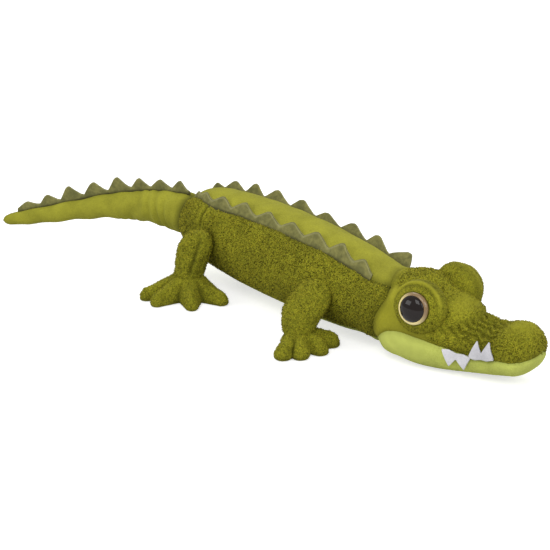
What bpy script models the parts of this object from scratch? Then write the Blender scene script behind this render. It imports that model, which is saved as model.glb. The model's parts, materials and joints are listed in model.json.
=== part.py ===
"""Plush crocodile, about 56 cm long, lying on four short stuffed legs.

The body is four sewn panels round a filling. Its two ends are domes, and the head and the tail sit on
them like caps, so that they can swing. Each leg is seated on a plane that touches the body's side and
swings about the line square to that plane. Metres, +X forward, +Y the animal's left, +Z up.
"""

import bmesh
import bpy
import numpy as np
from mathutils import Matrix, Vector

# Cloth and clearances
WALL = 0.0020                   # pile cloth with its backing
GAP = 0.0003                    # between neighbours
FILLING_GAP = 0.0009            # how far a filling lies inside its cover
OVERRUN = 0.0100                # how far a cutter runs past what it cuts

# Body, from the tail seam to the neck seam
BODY_LENGTH = 0.2300
BODY_WIDTH = 0.0700
BODY_HEIGHT = 0.0735
NECK_SEAT_RADIUS = 0.0275
TAIL_SEAT_RADIUS = 0.0185
RUMP_AXIS_HEIGHT = 0.0420
HIP_AXIS_HEIGHT = 0.0435
NECK_AXIS_HEIGHT = 0.0360
BODY_STATION_SHARES = (0.0, 0.10, 0.22, 0.36, 0.50, 0.64, 0.78, 0.90, 1.0)
BODY_GIRTH_SHARES = (0.80, 0.93, 0.99, 1.00, 0.99, 0.95, 0.87)
BODY_AXIS_SHARES = (0.0, 0.55, 0.95, 1.00, 0.86, 0.62, 0.36, 0.15, 0.0)
BACK_STATION_SHARES = (0.0, 0.14, 0.36, 0.60, 0.82, 1.0)
BACK_HALF_ANGLES = np.radians((21.0, 38.0, 40.5, 41.0, 42.0, 46.0))
BACK_ROLL = np.radians(3.5)     # the back lies this far round towards the animal's left
BELLY_HALF_ANGLE = np.radians(36.0)
DOME_COVER_ANGLE = np.radians(58.0)     # how far the cloth runs over each end dome

# Spines of the back and the tail
SPINE_THICKNESS = 0.0030
SPINE_EDGE_THICKNESS = 0.0008
SPINE_BAND = 0.0036             # height of the band that joins the spines
BACK_SPINE_HEIGHT = 0.0112
TAIL_SPINE_HEIGHT = 0.0118
BACK_SPINE_SHARES = (0.01, 0.992)  # first and last place along the body
TAIL_SPINE_SHARES = (0.070, 0.918)
SPINE_LEAN_SHARES = {"right": -0.70, "left": 1.00}     # lean, as a share of the slope where a row stands
SPINE_OUTLINE_SHARES = ((0.0, 0.0), (0.24, 0.82), (0.36, 1.0), (0.50, 0.80), (0.82, 0.20))
BACK_SPINE_SIZE_SHARES = (0.66, 0.70, 0.84, 0.88, 0.86, 0.84, 0.92, 1.02, 1.0)
BACK_SPINE_WIDTH_SHARES = (0.60, 0.81, 1.01, 1.22, 1.18, 1.14, 1.14, 1.07, 0.83)
TAIL_SPINE_SIZE_SHARES = (0.82, 0.86, 0.92, 1.05, 0.98, 1.0, 0.77, 0.66)
TAIL_SPINE_WIDTH_SHARES = (0.70, 1.0, 0.97, 1.12, 1.12, 1.10, 0.90, 0.95)

# Head, from the neck joint to the nose
HEAD_TURN = np.radians(11.0)
HEAD_LENGTH = 0.1360
HEAD_WIDTH = 0.0700
HEAD_HEIGHT = 0.0670            # crown above the floor
NECK_SWING = np.radians(20.0)
NOSE_DOME_LENGTH = 0.0180
HEAD_STATION_SHARES = (0.0, 0.14, 0.28, 0.42, 0.56, 0.72, 0.86, 1.0)
HEAD_WIDTH_SHARES = (0.95, 0.99, 0.90, 0.74, 0.65, 0.62, 0.62)
HEAD_TOP_SHARES = (0.985, 0.980, 0.850, 0.690, 0.640, 0.700, 0.680)
HEAD_BOTTOM_SHARES = (0.045, 0.008, 0.005, 0.017, 0.055, 0.105, 0.150)
JAW_FULLNESS = 0.74             # power that squares the lower half of the head
JAW_CORNER_HEIGHT = 0.0293
JAW_FRONT_HEIGHT = 0.0187
JAW_STATION_SHARES = (0.05, 0.20, 0.36, 0.55, 0.78, 1.05)
JAW_DROP_SHARES = (0.0, 0.20, 0.45, 0.72, 0.90, 1.0)

# Eyes
EYE_DIAMETER = 0.0240
PUPIL_DIAMETER = 0.0185
EYE_RIM_HEIGHT = 0.0040
EYE_DOME_HEIGHT = 0.0068
EYE_SHANK_DIAMETER = 0.0044
EYE_SHANK_LENGTH = 0.0240
WASHER_DIAMETER = 0.0110
WASHER_THICKNESS = 0.0016
MOUND_LENGTH = 0.0410
MOUND_DEPTH = 0.0300
MOUND_HEIGHT = 0.0400
EYE_FORWARD_SHARE = 0.3400      # of the head's length
EYE_SIDE = 0.0262
EYE_HEIGHT = 0.0500
EYE_YAW = np.radians(6.0)       # the eye looks this much forward of straight sideways
EYE_PITCH = np.radians(10.0)    # and this much upward

# Teeth
TOOTH_THICKNESS = 0.0014
TOOTH_HEIGHT = 0.0110
TOOTH_WIDTH = 0.0110
TOOTH_EDGE = 0.0010             # height of the strip at its ends
TOOTH_ROOT = 0.0038             # felt left between two teeth
TOOTH_GAP = 0.0005              # felt lies this far off the pile
UPPER_TEETH_FORWARD_SHARE = 0.738  # of the head's length
LOWER_TEETH_FORWARD_SHARE = 0.588

# Tail, from the tail joint to the tip
TAIL_LENGTH = 0.1950
TAIL_SIDE_REACH = 0.0700
TAIL_TIP_HEIGHT = 0.0060
TAIL_ARCH = 0.0082
TAIL_ARCH_LEAD = 0.0020         # lifts the arch near the root and lowers it near the tip
TAIL_ROOT_DIAMETER = 0.0390
TAIL_SIDE_POWER = 1.35          # the curve to the side gathers towards the tip
TAIL_FALL_POWER = 1.2
TAIL_SWING = np.radians(25.0)
TAIL_RIM_LENGTH = 0.0060        # from the rim to the first full ring
TAIL_STATION_SHARES = (0.0, 0.15, 0.32, 0.48, 0.64, 0.80, 0.92, 1.0)
TAIL_GIRTH_SHARES = (0.84, 0.70, 0.57, 0.47, 0.39, 0.32, 0.24)
TAIL_TIP_DOME_LENGTH = 0.0060

# Legs
HIP_PLACE = 0.0530  # forward of the tail seam
SHOULDER_PLACE = 0.1860
LEG_SEAT_ANGLE = np.radians(98.0)
HIND_LEG_DIAMETER = 0.0290
FRONT_LEG_DIAMETER = 0.0330
ANKLE_DIAMETER = 0.0240
ANKLE_HEIGHT = 0.0170
HIND_LEG_SEAT_SHARE = 0.30      # how much of a leg's radius its seat cuts away
FRONT_LEG_SEAT_SHARE = 0.30
HIND_LEG_TOP_HEIGHT = 0.0540
FRONT_LEG_TOP_HEIGHT = 0.0480
HIND_ANKLE_STEP = (-0.0040, 0.0080)  # ankle from hip, forward and outward
FRONT_ANKLE_STEP = (0.0040, 0.0115)

# Feet
FOOT_THICKNESS = 0.0240
FOOT_PAD_RADIUS = 0.0150
HIND_TOE_RADIUS = 0.0078
FRONT_TOE_RADIUS = 0.0068
HIND_TOE_REACH = 0.0320         # middle of a toe's round end from the ankle
FRONT_TOE_REACH = 0.0260
HIND_TURN_OUT = np.radians(47.0)
FRONT_TURN_OUT = np.radians(20.0)
SOLE_SHARE = 0.86               # how much of the outline lies flat
TOE_TOP_SHARE = 0.52
FOOT_TOP_SHARES = ((0.66, 0.22), (0.42, 0.62), (0.0, 1.0))     # outline left, and rise over the toes
HIND_TOES = tuple(zip(np.radians((-70.0, -38.0, 16.0, 56.0)), (0.98, 1.0, 0.96, 1.04)))
FRONT_TOES = tuple(zip(np.radians((-53.0, -22.0, 26.0, 74.0)), (1.10, 0.93, 0.82, 0.96)))

# Faces round and along each form
BODY_RINGS = 17
DOME_RINGS = 4
PANEL_COLUMNS = 7
NARROW_PANEL_COLUMNS = 4
HEAD_RINGS = 16
HEAD_SIDES = 20
TAIL_RINGS = 14
TAIL_SIDES = 14
LEG_SIDES = 14
HEEL_STEPS = 11
TOE_ANGLE_SHARES = (-0.96, -0.65, 0.0, 0.65, 0.96)      # of a toe's half width
FOOT_RINGS = 6
EYE_STEPS = 18
TOOTH_COLUMNS = 13
TOOTH_ROWS = 5

COLOURS = {
    "pile": ((0.155, 0.185, 0.018), 0.95),
    "velour": ((0.36, 0.40, 0.045), 0.85),
    "pale_velour": ((0.46, 0.55, 0.12), 0.85),
    "suede": ((0.17, 0.18, 0.075), 0.9),
    "felt": ((0.75, 0.74, 0.76), 0.95),
    "filling": ((0.85, 0.85, 0.83), 1.0),
    "iris": ((0.62, 0.52, 0.28), 0.25),
    "pupil": ((0.015, 0.011, 0.010), 0.05),
    "washer": ((0.80, 0.80, 0.78), 0.4),
}


def clear_scene():
    for item in list(bpy.data.objects):
        bpy.data.objects.remove(item, do_unlink=True)


def make_collection(name):
    collection = bpy.data.collections.new(name)
    bpy.context.scene.collection.children.link(collection)
    return collection


def make_material(name):
    colour, roughness = COLOURS[name]
    material = bpy.data.materials.new(name)
    material.use_nodes = True
    shader = material.node_tree.nodes["Principled BSDF"]
    shader.inputs["Base Color"].default_value = (*colour, 1.0)
    shader.inputs["Roughness"].default_value = roughness
    shader.inputs["Metallic"].default_value = 0.0
    material.diffuse_color = (*colour, 1.0)
    return material


def curve_through(places, values, at):
    """A smooth curve through (places, values), read at an array: cubic pieces with shared slopes."""
    places = np.asarray(places, dtype=float)
    values = np.asarray(values, dtype=float)
    slopes = np.gradient(values, places)
    piece = np.clip(np.searchsorted(places, at, side="right") - 1, 0, len(places) - 2)
    width = places[piece + 1] - places[piece]
    t = (at - places[piece]) / width
    start = (1 + 2 * t) * (1 - t) ** 2 * values[piece] + t * (1 - t) ** 2 * width * slopes[piece]
    end = t * t * (3 - 2 * t) * values[piece + 1] + t * t * (t - 1) * width * slopes[piece + 1]
    return start + end


def add_object(name, mesh, material, collection, parent=None):
    item = bpy.data.objects.new(name, mesh)
    collection.objects.link(item)
    if material is not None:
        mesh.materials.append(material)
    if parent is not None:
        item.parent = parent
    return item


def mesh_from(name, points, faces):
    """A closed mesh with its doubles merged and its faces turned outward."""
    mesh = bpy.data.meshes.new(name)
    mesh.from_pydata(np.asarray(points).tolist(), [], faces)
    work = bmesh.new()
    work.from_mesh(mesh)
    bmesh.ops.remove_doubles(work, verts=work.verts, dist=GAP / 30)
    bmesh.ops.recalc_face_normals(work, faces=work.faces)
    if work.calc_volume(signed=True) < 0:
        bmesh.ops.reverse_faces(work, faces=work.faces)
    work.to_mesh(mesh)
    work.free()
    mesh.shade_smooth()
    return mesh


def grid_faces(rows, columns, first, closed=False):
    """Quads of a grid of points numbered row by row; a closed grid joins its last column to its first."""
    faces = []
    for row in range(rows - 1):
        for column in range(columns if closed else columns - 1):
            right = (column + 1) % columns
            low = first + row * columns
            high = low + columns
            faces.append((low + column, low + right, high + right, high + column))
    return faces


def slab_mesh(name, outer, inner):
    """A sheet of cloth with thickness: an outer and an inner grid, joined along their four edges."""
    rows, columns = outer.shape[:2]
    count = rows * columns
    faces = grid_faces(rows, columns, 0) + grid_faces(rows, columns, count)
    edge = [column for column in range(columns)]
    edge += [row * columns + columns - 1 for row in range(1, rows)]
    edge += [(rows - 1) * columns + column for column in range(columns - 2, -1, -1)]
    edge += [row * columns for row in range(rows - 2, 0, -1)]
    for here, there in zip(edge, edge[1:] + edge[:1]):
        faces.append((here, there, there + count, here + count))
    points = np.concatenate([outer.reshape(-1, 3), inner.reshape(-1, 3)])
    return mesh_from(name, points, faces)


def closed_mesh(name, rings):
    """A closed form from rings of points; an end ring that is no single point gets a flat cap."""
    rows, columns = rings.shape[:2]
    faces = grid_faces(rows, columns, 0, closed=True)
    for row in (0, rows - 1):
        if np.ptp(rings[row], axis=0).max() > GAP / 30:
            faces.append(tuple(range(row * columns, (row + 1) * columns)))
    return mesh_from(name, rings.reshape(-1, 3), faces)


def sleeve_mesh(name, outer, inner):
    """A hollow form: outer and inner rings, open at the first ring and closed at the last, a point."""
    rows, columns = outer.shape[:2]
    count = rows * columns
    faces = grid_faces(rows, columns, 0, closed=True) + grid_faces(rows, columns, count, closed=True)
    for column in range(columns):
        right = (column + 1) % columns
        faces.append((column, right, right + count, column + count))
    points = np.concatenate([outer.reshape(-1, 3), inner.reshape(-1, 3)])
    return mesh_from(name, points, faces)


def cut(item, cutter, operation="DIFFERENCE"):
    """Cuts one object with another at once, and keeps the result as its mesh."""
    modifier = item.modifiers.new("cut", "BOOLEAN")
    modifier.operation = operation
    modifier.object = cutter
    modifier.solver = "EXACT"
    bpy.context.view_layer.update()
    evaluated = item.evaluated_get(bpy.context.evaluated_depsgraph_get())
    mesh = bpy.data.meshes.new_from_object(evaluated)
    item.modifiers.clear()
    item.data = mesh


def cut_flat(item, point, normal):
    """Takes off what lies beyond a plane, on the side that its normal points to, and closes the cut."""
    work = bmesh.new()
    work.from_mesh(item.data)
    parts = work.verts[:] + work.edges[:] + work.faces[:]
    result = bmesh.ops.bisect_plane(work, geom=parts, plane_co=Vector(point), plane_no=Vector(normal),
                                    clear_outer=True)
    edges = [part for part in result["geom_cut"] if isinstance(part, bmesh.types.BMEdge)]
    filled = bmesh.ops.triangle_fill(work, edges=edges, use_beauty=True)
    faces = [part for part in filled["geom"] if isinstance(part, bmesh.types.BMFace)]
    bmesh.ops.dissolve_limit(work, angle_limit=GAP, verts=[], edges=[
        edge for edge in {e for f in faces for e in f.edges} if len(edge.link_faces) == 2
        and all(face in faces for face in edge.link_faces)])
    bmesh.ops.recalc_face_normals(work, faces=work.faces)
    work.to_mesh(item.data)
    work.free()


def make_cutter(name, mesh, parent=None):
    cutter = add_object(name, mesh, None, cutters, parent)
    cutter.hide_render = True
    cutter.display_type = "WIRE"
    return cutter


def body_girth():
    """Half widths and half heights at the body's stations, which end in the two seats."""
    shares = np.array(BODY_GIRTH_SHARES)
    widths = np.concatenate([[TAIL_SEAT_RADIUS], shares * BODY_WIDTH / 2, [NECK_SEAT_RADIUS]])
    heights = np.concatenate([[TAIL_SEAT_RADIUS], shares * BODY_HEIGHT / 2, [NECK_SEAT_RADIUS]])
    return widths, heights


def body_axis(place):
    """Height of the body's centre line: a straight fall from rump to neck, raised over the hips."""
    straight = RUMP_AXIS_HEIGHT + (NECK_AXIS_HEIGHT - RUMP_AXIS_HEIGHT) * place
    rise = curve_through(BODY_STATION_SHARES, BODY_AXIS_SHARES, place)
    return straight + (HIP_AXIS_HEIGHT - RUMP_AXIS_HEIGHT) * rise


def body_section(place, inset):
    """Centre and half axes of the body's section. place runs 0 to 1 between the seams, and on by up to
    1 at each end over a dome, a quarter circle about the seam's centre."""
    place = np.asarray(place, dtype=float)
    along = np.clip(place, 0.0, 1.0)
    widths, heights = body_girth()
    half_width = curve_through(BODY_STATION_SHARES, widths, along) - inset
    half_height = curve_through(BODY_STATION_SHARES, heights, along) - inset
    rear = np.clip(-place, 0.0, 1.0) * np.pi / 2
    front = np.clip(place - 1.0, 0.0, 1.0) * np.pi / 2
    forward = along * BODY_LENGTH
    forward += (NECK_SEAT_RADIUS - inset) * np.sin(front) - (TAIL_SEAT_RADIUS - inset) * np.sin(rear)
    shrink = np.cos(rear) * np.cos(front)
    return forward, body_axis(along), half_width * shrink, half_height * shrink


def body_point(place, angle, inset=0.0):
    """Points of the body's skin. The angle is 0 at the top and grows towards the animal's right."""
    forward, height, half_width, half_height = body_section(place, inset)
    forward, _ = np.broadcast_arrays(forward, angle)
    return np.stack([forward, -half_width * np.sin(angle), height + half_height * np.cos(angle)], -1)


def back_half_angle(place):
    return curve_through(BACK_STATION_SHARES, BACK_HALF_ANGLES, np.clip(place, 0.0, 1.0))


def back_roll(place):
    """The back is sewn straight at the rump, and rolls to the left from there on."""
    return BACK_ROLL * np.sin(np.pi / 2 * np.clip(place, 0.0, 1.0))


def dome_reach(angle):
    return angle / (np.pi / 2)


def body_places(rings):
    """Places of a panel's rings, over both domes and the body between them."""
    end = dome_reach(DOME_COVER_ANGLE)
    rear = np.linspace(-end, 0.0, DOME_RINGS)[:-1]
    front = np.linspace(1.0, 1.0 + end, DOME_RINGS)[1:]
    return np.concatenate([rear, np.linspace(0.0, 1.0, rings), front])


def seam_angle_step(place, clearance):
    """The angle that a clearance takes up at the skin's least radius there."""
    _, _, half_width, half_height = body_section(place, WALL)
    return clearance / np.minimum(half_width, half_height)


def body_panel(name, low_angle, high_angle, columns, material, parent):
    """One sewn panel of the body between two seams, each given as an angle at every place."""
    places = body_places(BODY_RINGS)
    low = low_angle(places)
    high = high_angle(places)
    across = np.linspace(0.0, 1.0, columns)
    angles = low[:, None] + (high - low)[:, None] * across[None, :]
    outer = body_point(places[:, None], angles)
    inner = body_point(places[:, None], angles, WALL)
    return add_object(name, slab_mesh(name, outer, inner), material, parts, parent)


def make_body(parent):
    """Back panel, belly panel and two sides. The spines' bands stand in the seams beside the back."""
    band = SPINE_THICKNESS / 2 + GAP

    def back_edge(places):
        return back_half_angle(places) - seam_angle_step(places, band)

    def side_top(places):
        return back_half_angle(places) + seam_angle_step(places, band)

    def side_bottom(places):
        return np.pi - BELLY_HALF_ANGLE - seam_angle_step(places, GAP / 2)

    def belly_edge(places):
        return np.pi - BELLY_HALF_ANGLE + seam_angle_step(places, GAP / 2)

    body_panel("back_panel", lambda p: -back_edge(p) - back_roll(p), lambda p: back_edge(p) - back_roll(p),
               NARROW_PANEL_COLUMNS + 1, materials["velour"], parent)
    body_panel("belly_panel", belly_edge, lambda p: 2 * np.pi - belly_edge(p), NARROW_PANEL_COLUMNS + 1,
               materials["pale_velour"], parent)
    body_panel("body_side_right", lambda p: side_top(p) - back_roll(p), side_bottom, PANEL_COLUMNS,
               materials["pile"], parent)
    body_panel("body_side_left", lambda p: -side_bottom(p), lambda p: -side_top(p) - back_roll(p),
               PANEL_COLUMNS, materials["pile"], parent)
    places = np.concatenate([[-1.0], body_places(BODY_RINGS), [2.0]])
    angles = np.linspace(0.0, 2 * np.pi, HEAD_SIDES, endpoint=False)
    rings = body_point(places[:, None], angles[None, :], WALL + FILLING_GAP)
    add_object("body_filling", closed_mesh("body_filling", rings), materials["filling"], parts, parent)


def spine_outline(widths, sizes, height):
    """Places, as shares of a row, and heights along it: each spine rises steeply, then falls slowly."""
    ends = np.concatenate([[0.0], np.cumsum(widths)]) / np.sum(widths)
    phases = []
    heights = []
    for start, end, size in zip(ends, ends[1:], sizes):
        for phase, level in SPINE_OUTLINE_SHARES:
            phases.append(start + (end - start) * phase)
            heights.append(SPINE_BAND + (height * size - SPINE_BAND) * level)
    phases.append(1.0)
    heights.append(SPINE_BAND)
    return np.array(phases), np.array(heights)


def spine_row(name, foot, skin, outward, across, heights, parent):
    """A band of suede with spines: its foot is tucked into a seam as deep as the cloth, and its thick
    faces thin towards the edge of the spines."""
    edge = skin + outward * heights[:, None]
    middle = np.stack([foot, skin + (skin - foot) * GAP / WALL, edge], 1)
    half = np.array([SPINE_THICKNESS, SPINE_THICKNESS, SPINE_EDGE_THICKNESS])[None, :, None] / 2
    near = middle + across[:, None, :] * half
    far = middle - across[:, None, :] * half
    return add_object(name, slab_mesh(name, near, far), materials["suede"], parts, parent)


def unit(vectors):
    return vectors / np.linalg.norm(vectors, axis=-1, keepdims=True)


def make_back_spines(side, suffix, parent):
    """One of the two rows that stand in the seams of the back; side is 1 on the animal's right."""
    first, last = BACK_SPINE_SHARES
    phases, heights = spine_outline(BACK_SPINE_WIDTH_SHARES, BACK_SPINE_SIZE_SHARES, BACK_SPINE_HEIGHT)
    places = first + (last - first) * phases
    angles = back_half_angle(places) - side * back_roll(places)
    base = body_point(places, side * angles, WALL)
    skin = body_point(places, side * angles)
    across = body_point(places, side * (angles + GAP)) - body_point(places, side * (angles - GAP))
    lean = SPINE_LEAN_SHARES[suffix] * angles
    outward = np.stack([np.zeros_like(angles), -side * np.sin(lean), np.cos(lean)], -1)
    return spine_row("back_spines_" + suffix, base, skin, unit(outward), unit(across), heights, parent)


def hollow_radius(radius, sides, step):
    """Radius of a faceted hollow whose flats clear a ball of the given radius."""
    return radius / (np.cos(np.pi / sides) * np.cos(step / 2))


def rim_ring(radius, polar, sides):
    """A ring on a sphere about the joint, at a polar angle from the piece's own direction."""
    angles = np.linspace(0.0, 2 * np.pi, sides, endpoint=False)
    around = np.stack([np.zeros(sides), -np.sin(angles), np.cos(angles)], -1)
    return around * radius * np.sin(polar) + np.array([radius * np.cos(polar), 0.0, 0.0])


def head_section(forward, inset):
    """Centre height above the neck joint, and half axes, of the head's section at a distance forward
    of that joint. The nose rounds off as a quarter ellipse."""
    share = np.clip(forward / HEAD_LENGTH, 0.0, 1.0)
    seat = np.array([NECK_SEAT_RADIUS])
    widths = np.concatenate([seat, np.array(HEAD_WIDTH_SHARES) * HEAD_WIDTH / 2])
    tops = np.concatenate([seat, np.array(HEAD_TOP_SHARES) * HEAD_HEIGHT - NECK_AXIS_HEIGHT])
    bottoms = np.concatenate([-seat, np.array(HEAD_BOTTOM_SHARES) * HEAD_HEIGHT - NECK_AXIS_HEIGHT])
    half_width = curve_through(HEAD_STATION_SHARES, widths, share)
    top = curve_through(HEAD_STATION_SHARES, tops, share)
    bottom = curve_through(HEAD_STATION_SHARES, bottoms, share)
    into_nose = (forward - (HEAD_LENGTH - NOSE_DOME_LENGTH)) / (NOSE_DOME_LENGTH - inset)
    round_off = np.sqrt(1.0 - np.clip(into_nose, 0.0, 1.0) ** 2)
    return (top + bottom) / 2, (half_width - inset) * round_off, ((top - bottom) / 2 - inset) * round_off


def head_point(forward, angle, inset=0.0):
    """Points of the head's skin, seen from the neck joint and before the head is turned."""
    height, half_width, half_height = head_section(forward, inset)
    forward, angle = np.broadcast_arrays(forward, angle)
    power = np.where(np.cos(angle) < 0, JAW_FULLNESS, 1.0)
    across = np.sign(np.sin(angle)) * np.abs(np.sin(angle)) ** power
    upward = np.sign(np.cos(angle)) * np.abs(np.cos(angle)) ** power
    return np.stack([forward, -half_width * across, height + half_height * upward], -1)


def head_angle(forward, level):
    """The angle at which the head's skin lies at a height above the neck joint."""
    height, _, half_height = head_section(forward, 0.0)
    upward = np.clip((level - height) / half_height, -1.0, 1.0)
    power = np.where(upward < 0, JAW_FULLNESS, 1.0)
    return np.arccos(np.sign(upward) * np.abs(upward) ** (1.0 / power))


def head_stations(first, inset, rings):
    """Distances of the head's rings, closer together where the nose rounds off."""
    straight = np.linspace(first, HEAD_LENGTH - NOSE_DOME_LENGTH, rings)
    turn = np.linspace(0.0, np.pi / 2, DOME_RINGS + 1)[1:]
    return np.concatenate([straight, straight[-1] + (NOSE_DOME_LENGTH - inset) * np.sin(turn)])


def head_rings(inset, seat_radius):
    """Rings of the head from its rim at the neck to the nose. The first full ring of an inner face lies
    as far forward of the outer face's as the face lies inward."""
    polar = np.pi / 2 - NECK_SWING - GAP / NECK_SEAT_RADIUS
    rim = rim_ring(seat_radius, polar, HEAD_SIDES)
    first = (NECK_SEAT_RADIUS + GAP + WALL) * np.cos(polar) + WALL + inset
    stations = head_stations(first, inset, HEAD_RINGS)
    angles = np.linspace(0.0, 2 * np.pi, HEAD_SIDES, endpoint=False)
    rings = head_point(stations[:, None], angles[None, :], inset)
    return np.concatenate([rim[None], rings])


def jaw_height(forward):
    """Height of the jaw seam above the neck joint."""
    share = forward / HEAD_LENGTH
    drop = curve_through(JAW_STATION_SHARES, JAW_DROP_SHARES, np.clip(share, JAW_STATION_SHARES[0], None))
    return JAW_CORNER_HEIGHT + (JAW_FRONT_HEIGHT - JAW_CORNER_HEIGHT) * drop - NECK_AXIS_HEIGHT


def jaw_cutter(name, lift, parent):
    """Everything below the jaw seam, as a block with a curved top."""
    stations = np.linspace(0.0, HEAD_LENGTH + OVERRUN, HEAD_RINGS)
    top = jaw_height(stations) + lift
    bottom = np.full_like(top, -NECK_AXIS_HEIGHT - OVERRUN)
    half = HEAD_WIDTH / 2 + OVERRUN
    corners = ((-half, top), (half, top), (half, bottom), (-half, bottom))
    rings = np.stack([np.stack([stations, np.full_like(stations, y), z], -1) for y, z in corners], 1)
    return make_cutter(name, closed_mesh(name, rings), parent)


def make_head(parent):
    """Pile cover and jaw panel, split along the jaw seam, round a filling with a hollow for the neck."""
    reach = np.linspace(0.0, np.pi / 2 - NECK_SWING - 2 * FILLING_GAP / NECK_SEAT_RADIUS, DOME_RINGS)
    seat = hollow_radius(NECK_SEAT_RADIUS + GAP, HEAD_SIDES, reach[1])
    outer = head_rings(0.0, seat + WALL)
    inner = head_rings(WALL, seat)
    cover = add_object("head_cover", sleeve_mesh("head_cover", outer, inner), materials["pile"], parts, parent)
    jaw = add_object("jaw_panel", sleeve_mesh("jaw_panel", outer, inner), materials["pale_velour"], parts,
                     parent)
    cut(cover, jaw_cutter("jaw_cut_above", GAP / 2, parent))
    cut(jaw, jaw_cutter("jaw_cut_below", -GAP / 2, parent), "INTERSECT")
    filling_rings = head_rings(WALL + FILLING_GAP, seat)[1:]
    hollow = np.stack([rim_ring(seat, polar, HEAD_SIDES) for polar in reach])
    filling = add_object("head_filling", closed_mesh("head_filling", np.concatenate([hollow, filling_rings])),
                         materials["filling"], parts, parent)
    return cover, jaw, filling


def turned_mesh(name, profile):
    """A closed solid turned about local Z from a profile of (radius, height) points, axis to axis."""
    angles = np.linspace(0.0, 2 * np.pi, EYE_STEPS, endpoint=False)
    radius = np.array([point[0] for point in profile])[:, None]
    height = np.array([point[1] for point in profile])[:, None]
    rings = np.stack([radius * np.cos(angles), radius * np.sin(angles), height + 0 * angles], -1)
    return closed_mesh(name, rings)


def turned_ring_mesh(name, profile):
    """A ring turned about local Z from a closed outline of (radius, height) points."""
    angles = np.linspace(0.0, 2 * np.pi, EYE_STEPS, endpoint=False)
    outline = list(profile) + [profile[0]]
    radius = np.array([point[0] for point in outline])[:, None]
    height = np.array([point[1] for point in outline])[:, None]
    rings = np.stack([radius * np.cos(angles), radius * np.sin(angles), height + 0 * angles], -1)
    rows, columns = rings.shape[:2]
    return mesh_from(name, rings.reshape(-1, 3), grid_faces(rows, columns, 0, closed=True))


def eye_frame(side):
    """Place and turn of an eye in the head: local Z looks out of the head, sideways and a little up."""
    look = Vector((np.sin(EYE_YAW) * np.cos(EYE_PITCH), -side * np.cos(EYE_YAW) * np.cos(EYE_PITCH),
                   np.sin(EYE_PITCH)))
    turn = look.to_track_quat("Z", "Y").to_matrix().to_4x4()
    place = Vector((EYE_FORWARD_SHARE * HEAD_LENGTH, -side * EYE_SIDE, EYE_HEIGHT - NECK_AXIS_HEIGHT))
    return Matrix.Translation(place) @ turn


def ellipsoid_mesh(name, size):
    """An ellipsoid of the given width, length and height about its centre."""
    mesh = bpy.data.meshes.new(name)
    work = bmesh.new()
    bmesh.ops.create_uvsphere(work, u_segments=HEAD_SIDES, v_segments=HEAD_SIDES // 2, radius=0.5)
    work.transform(Matrix.Diagonal((*size, 1.0)))
    work.to_mesh(mesh)
    work.free()
    mesh.shade_smooth()
    return mesh


def make_eye(side, suffix, cover, filling, parent):
    """A stuffed mound, and in it a moulded eye: iris rim, pupil dome with its shank, and a washer."""
    frame = eye_frame(side)
    socket = EYE_DIAMETER / 2 + GAP
    bore = EYE_SHANK_DIAMETER / 2 + GAP
    seat = MOUND_DEPTH / 2 - EYE_RIM_HEIGHT

    def place(item):
        item.parent = parent
        item.matrix_local = frame
        return item

    mound = place(add_object("eye_mound_" + suffix, ellipsoid_mesh("mound", (MOUND_LENGTH, MOUND_HEIGHT,
                                                                            MOUND_DEPTH)),
                             materials["pile"], parts))
    rings = head_rings(-GAP, NECK_SEAT_RADIUS + WALL)
    cut(mound, make_cutter("head_form_" + suffix, closed_mesh("head_form", rings), parent))
    socket_profile = ((0.0, seat), (socket, seat), (socket, seat + OVERRUN), (0.0, seat + OVERRUN))
    cut(mound, place(make_cutter("eye_socket_" + suffix, turned_mesh("eye_socket", socket_profile))))
    shank_end = seat - EYE_SHANK_LENGTH
    bore_profile = ((0.0, shank_end - GAP), (bore, shank_end - GAP), (bore, seat + OVERRUN),
                    (0.0, seat + OVERRUN))
    bore_cutter = place(make_cutter("shank_bore_" + suffix, turned_mesh("shank_bore", bore_profile)))
    cut(mound, bore_cutter)
    cut(cover, bore_cutter)

    rim_foot = seat + GAP
    rim_top = rim_foot + EYE_RIM_HEIGHT
    inner = PUPIL_DIAMETER / 2 + GAP
    rim_profile = ((inner, rim_foot), (EYE_DIAMETER / 2, rim_foot),
                   (EYE_DIAMETER / 2, rim_foot + EYE_RIM_HEIGHT / 2), (inner, rim_top))
    place(add_object("eye_rim_" + suffix, turned_ring_mesh("eye_rim", rim_profile), materials["iris"], parts))

    radius = PUPIL_DIAMETER / 2
    shank = EYE_SHANK_DIAMETER / 2
    turn = np.linspace(0.0, np.pi / 2, DOME_RINGS + 1)
    dome_foot = rim_foot + EYE_RIM_HEIGHT / 2
    rise = EYE_DOME_HEIGHT - EYE_RIM_HEIGHT / 2
    dome = [(radius * np.cos(a), dome_foot + rise * np.sin(a)) for a in turn]
    profile = [(0.0, shank_end), (shank, shank_end), (shank, rim_foot), (radius, rim_foot)] + dome
    profile[-1] = (0.0, profile[-1][1])
    place(add_object("eye_" + suffix, turned_mesh("eye", profile), materials["pupil"], parts))

    washer_top = shank_end + EYE_SHANK_DIAMETER
    washer = ((bore, washer_top), (bore, washer_top - WASHER_THICKNESS),
              (WASHER_DIAMETER / 2, washer_top - WASHER_THICKNESS), (WASHER_DIAMETER / 2, washer_top))
    place(add_object("eye_washer_" + suffix, turned_ring_mesh("eye_washer", washer), materials["washer"],
                     parts))
    pocket = WASHER_DIAMETER / 2 + GAP
    pocket_foot = washer_top - WASHER_THICKNESS - GAP
    pocket_profile = ((0.0, shank_end - GAP), (bore, shank_end - GAP), (bore, pocket_foot),
                      (pocket, pocket_foot), (pocket, washer_top + GAP), (bore, washer_top + GAP),
                      (bore, seat + OVERRUN), (0.0, seat + OVERRUN))
    pocket_cutter = make_cutter("washer_pocket_" + suffix, turned_mesh("washer_pocket", pocket_profile))
    cut(filling, place(pocket_cutter))


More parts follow.
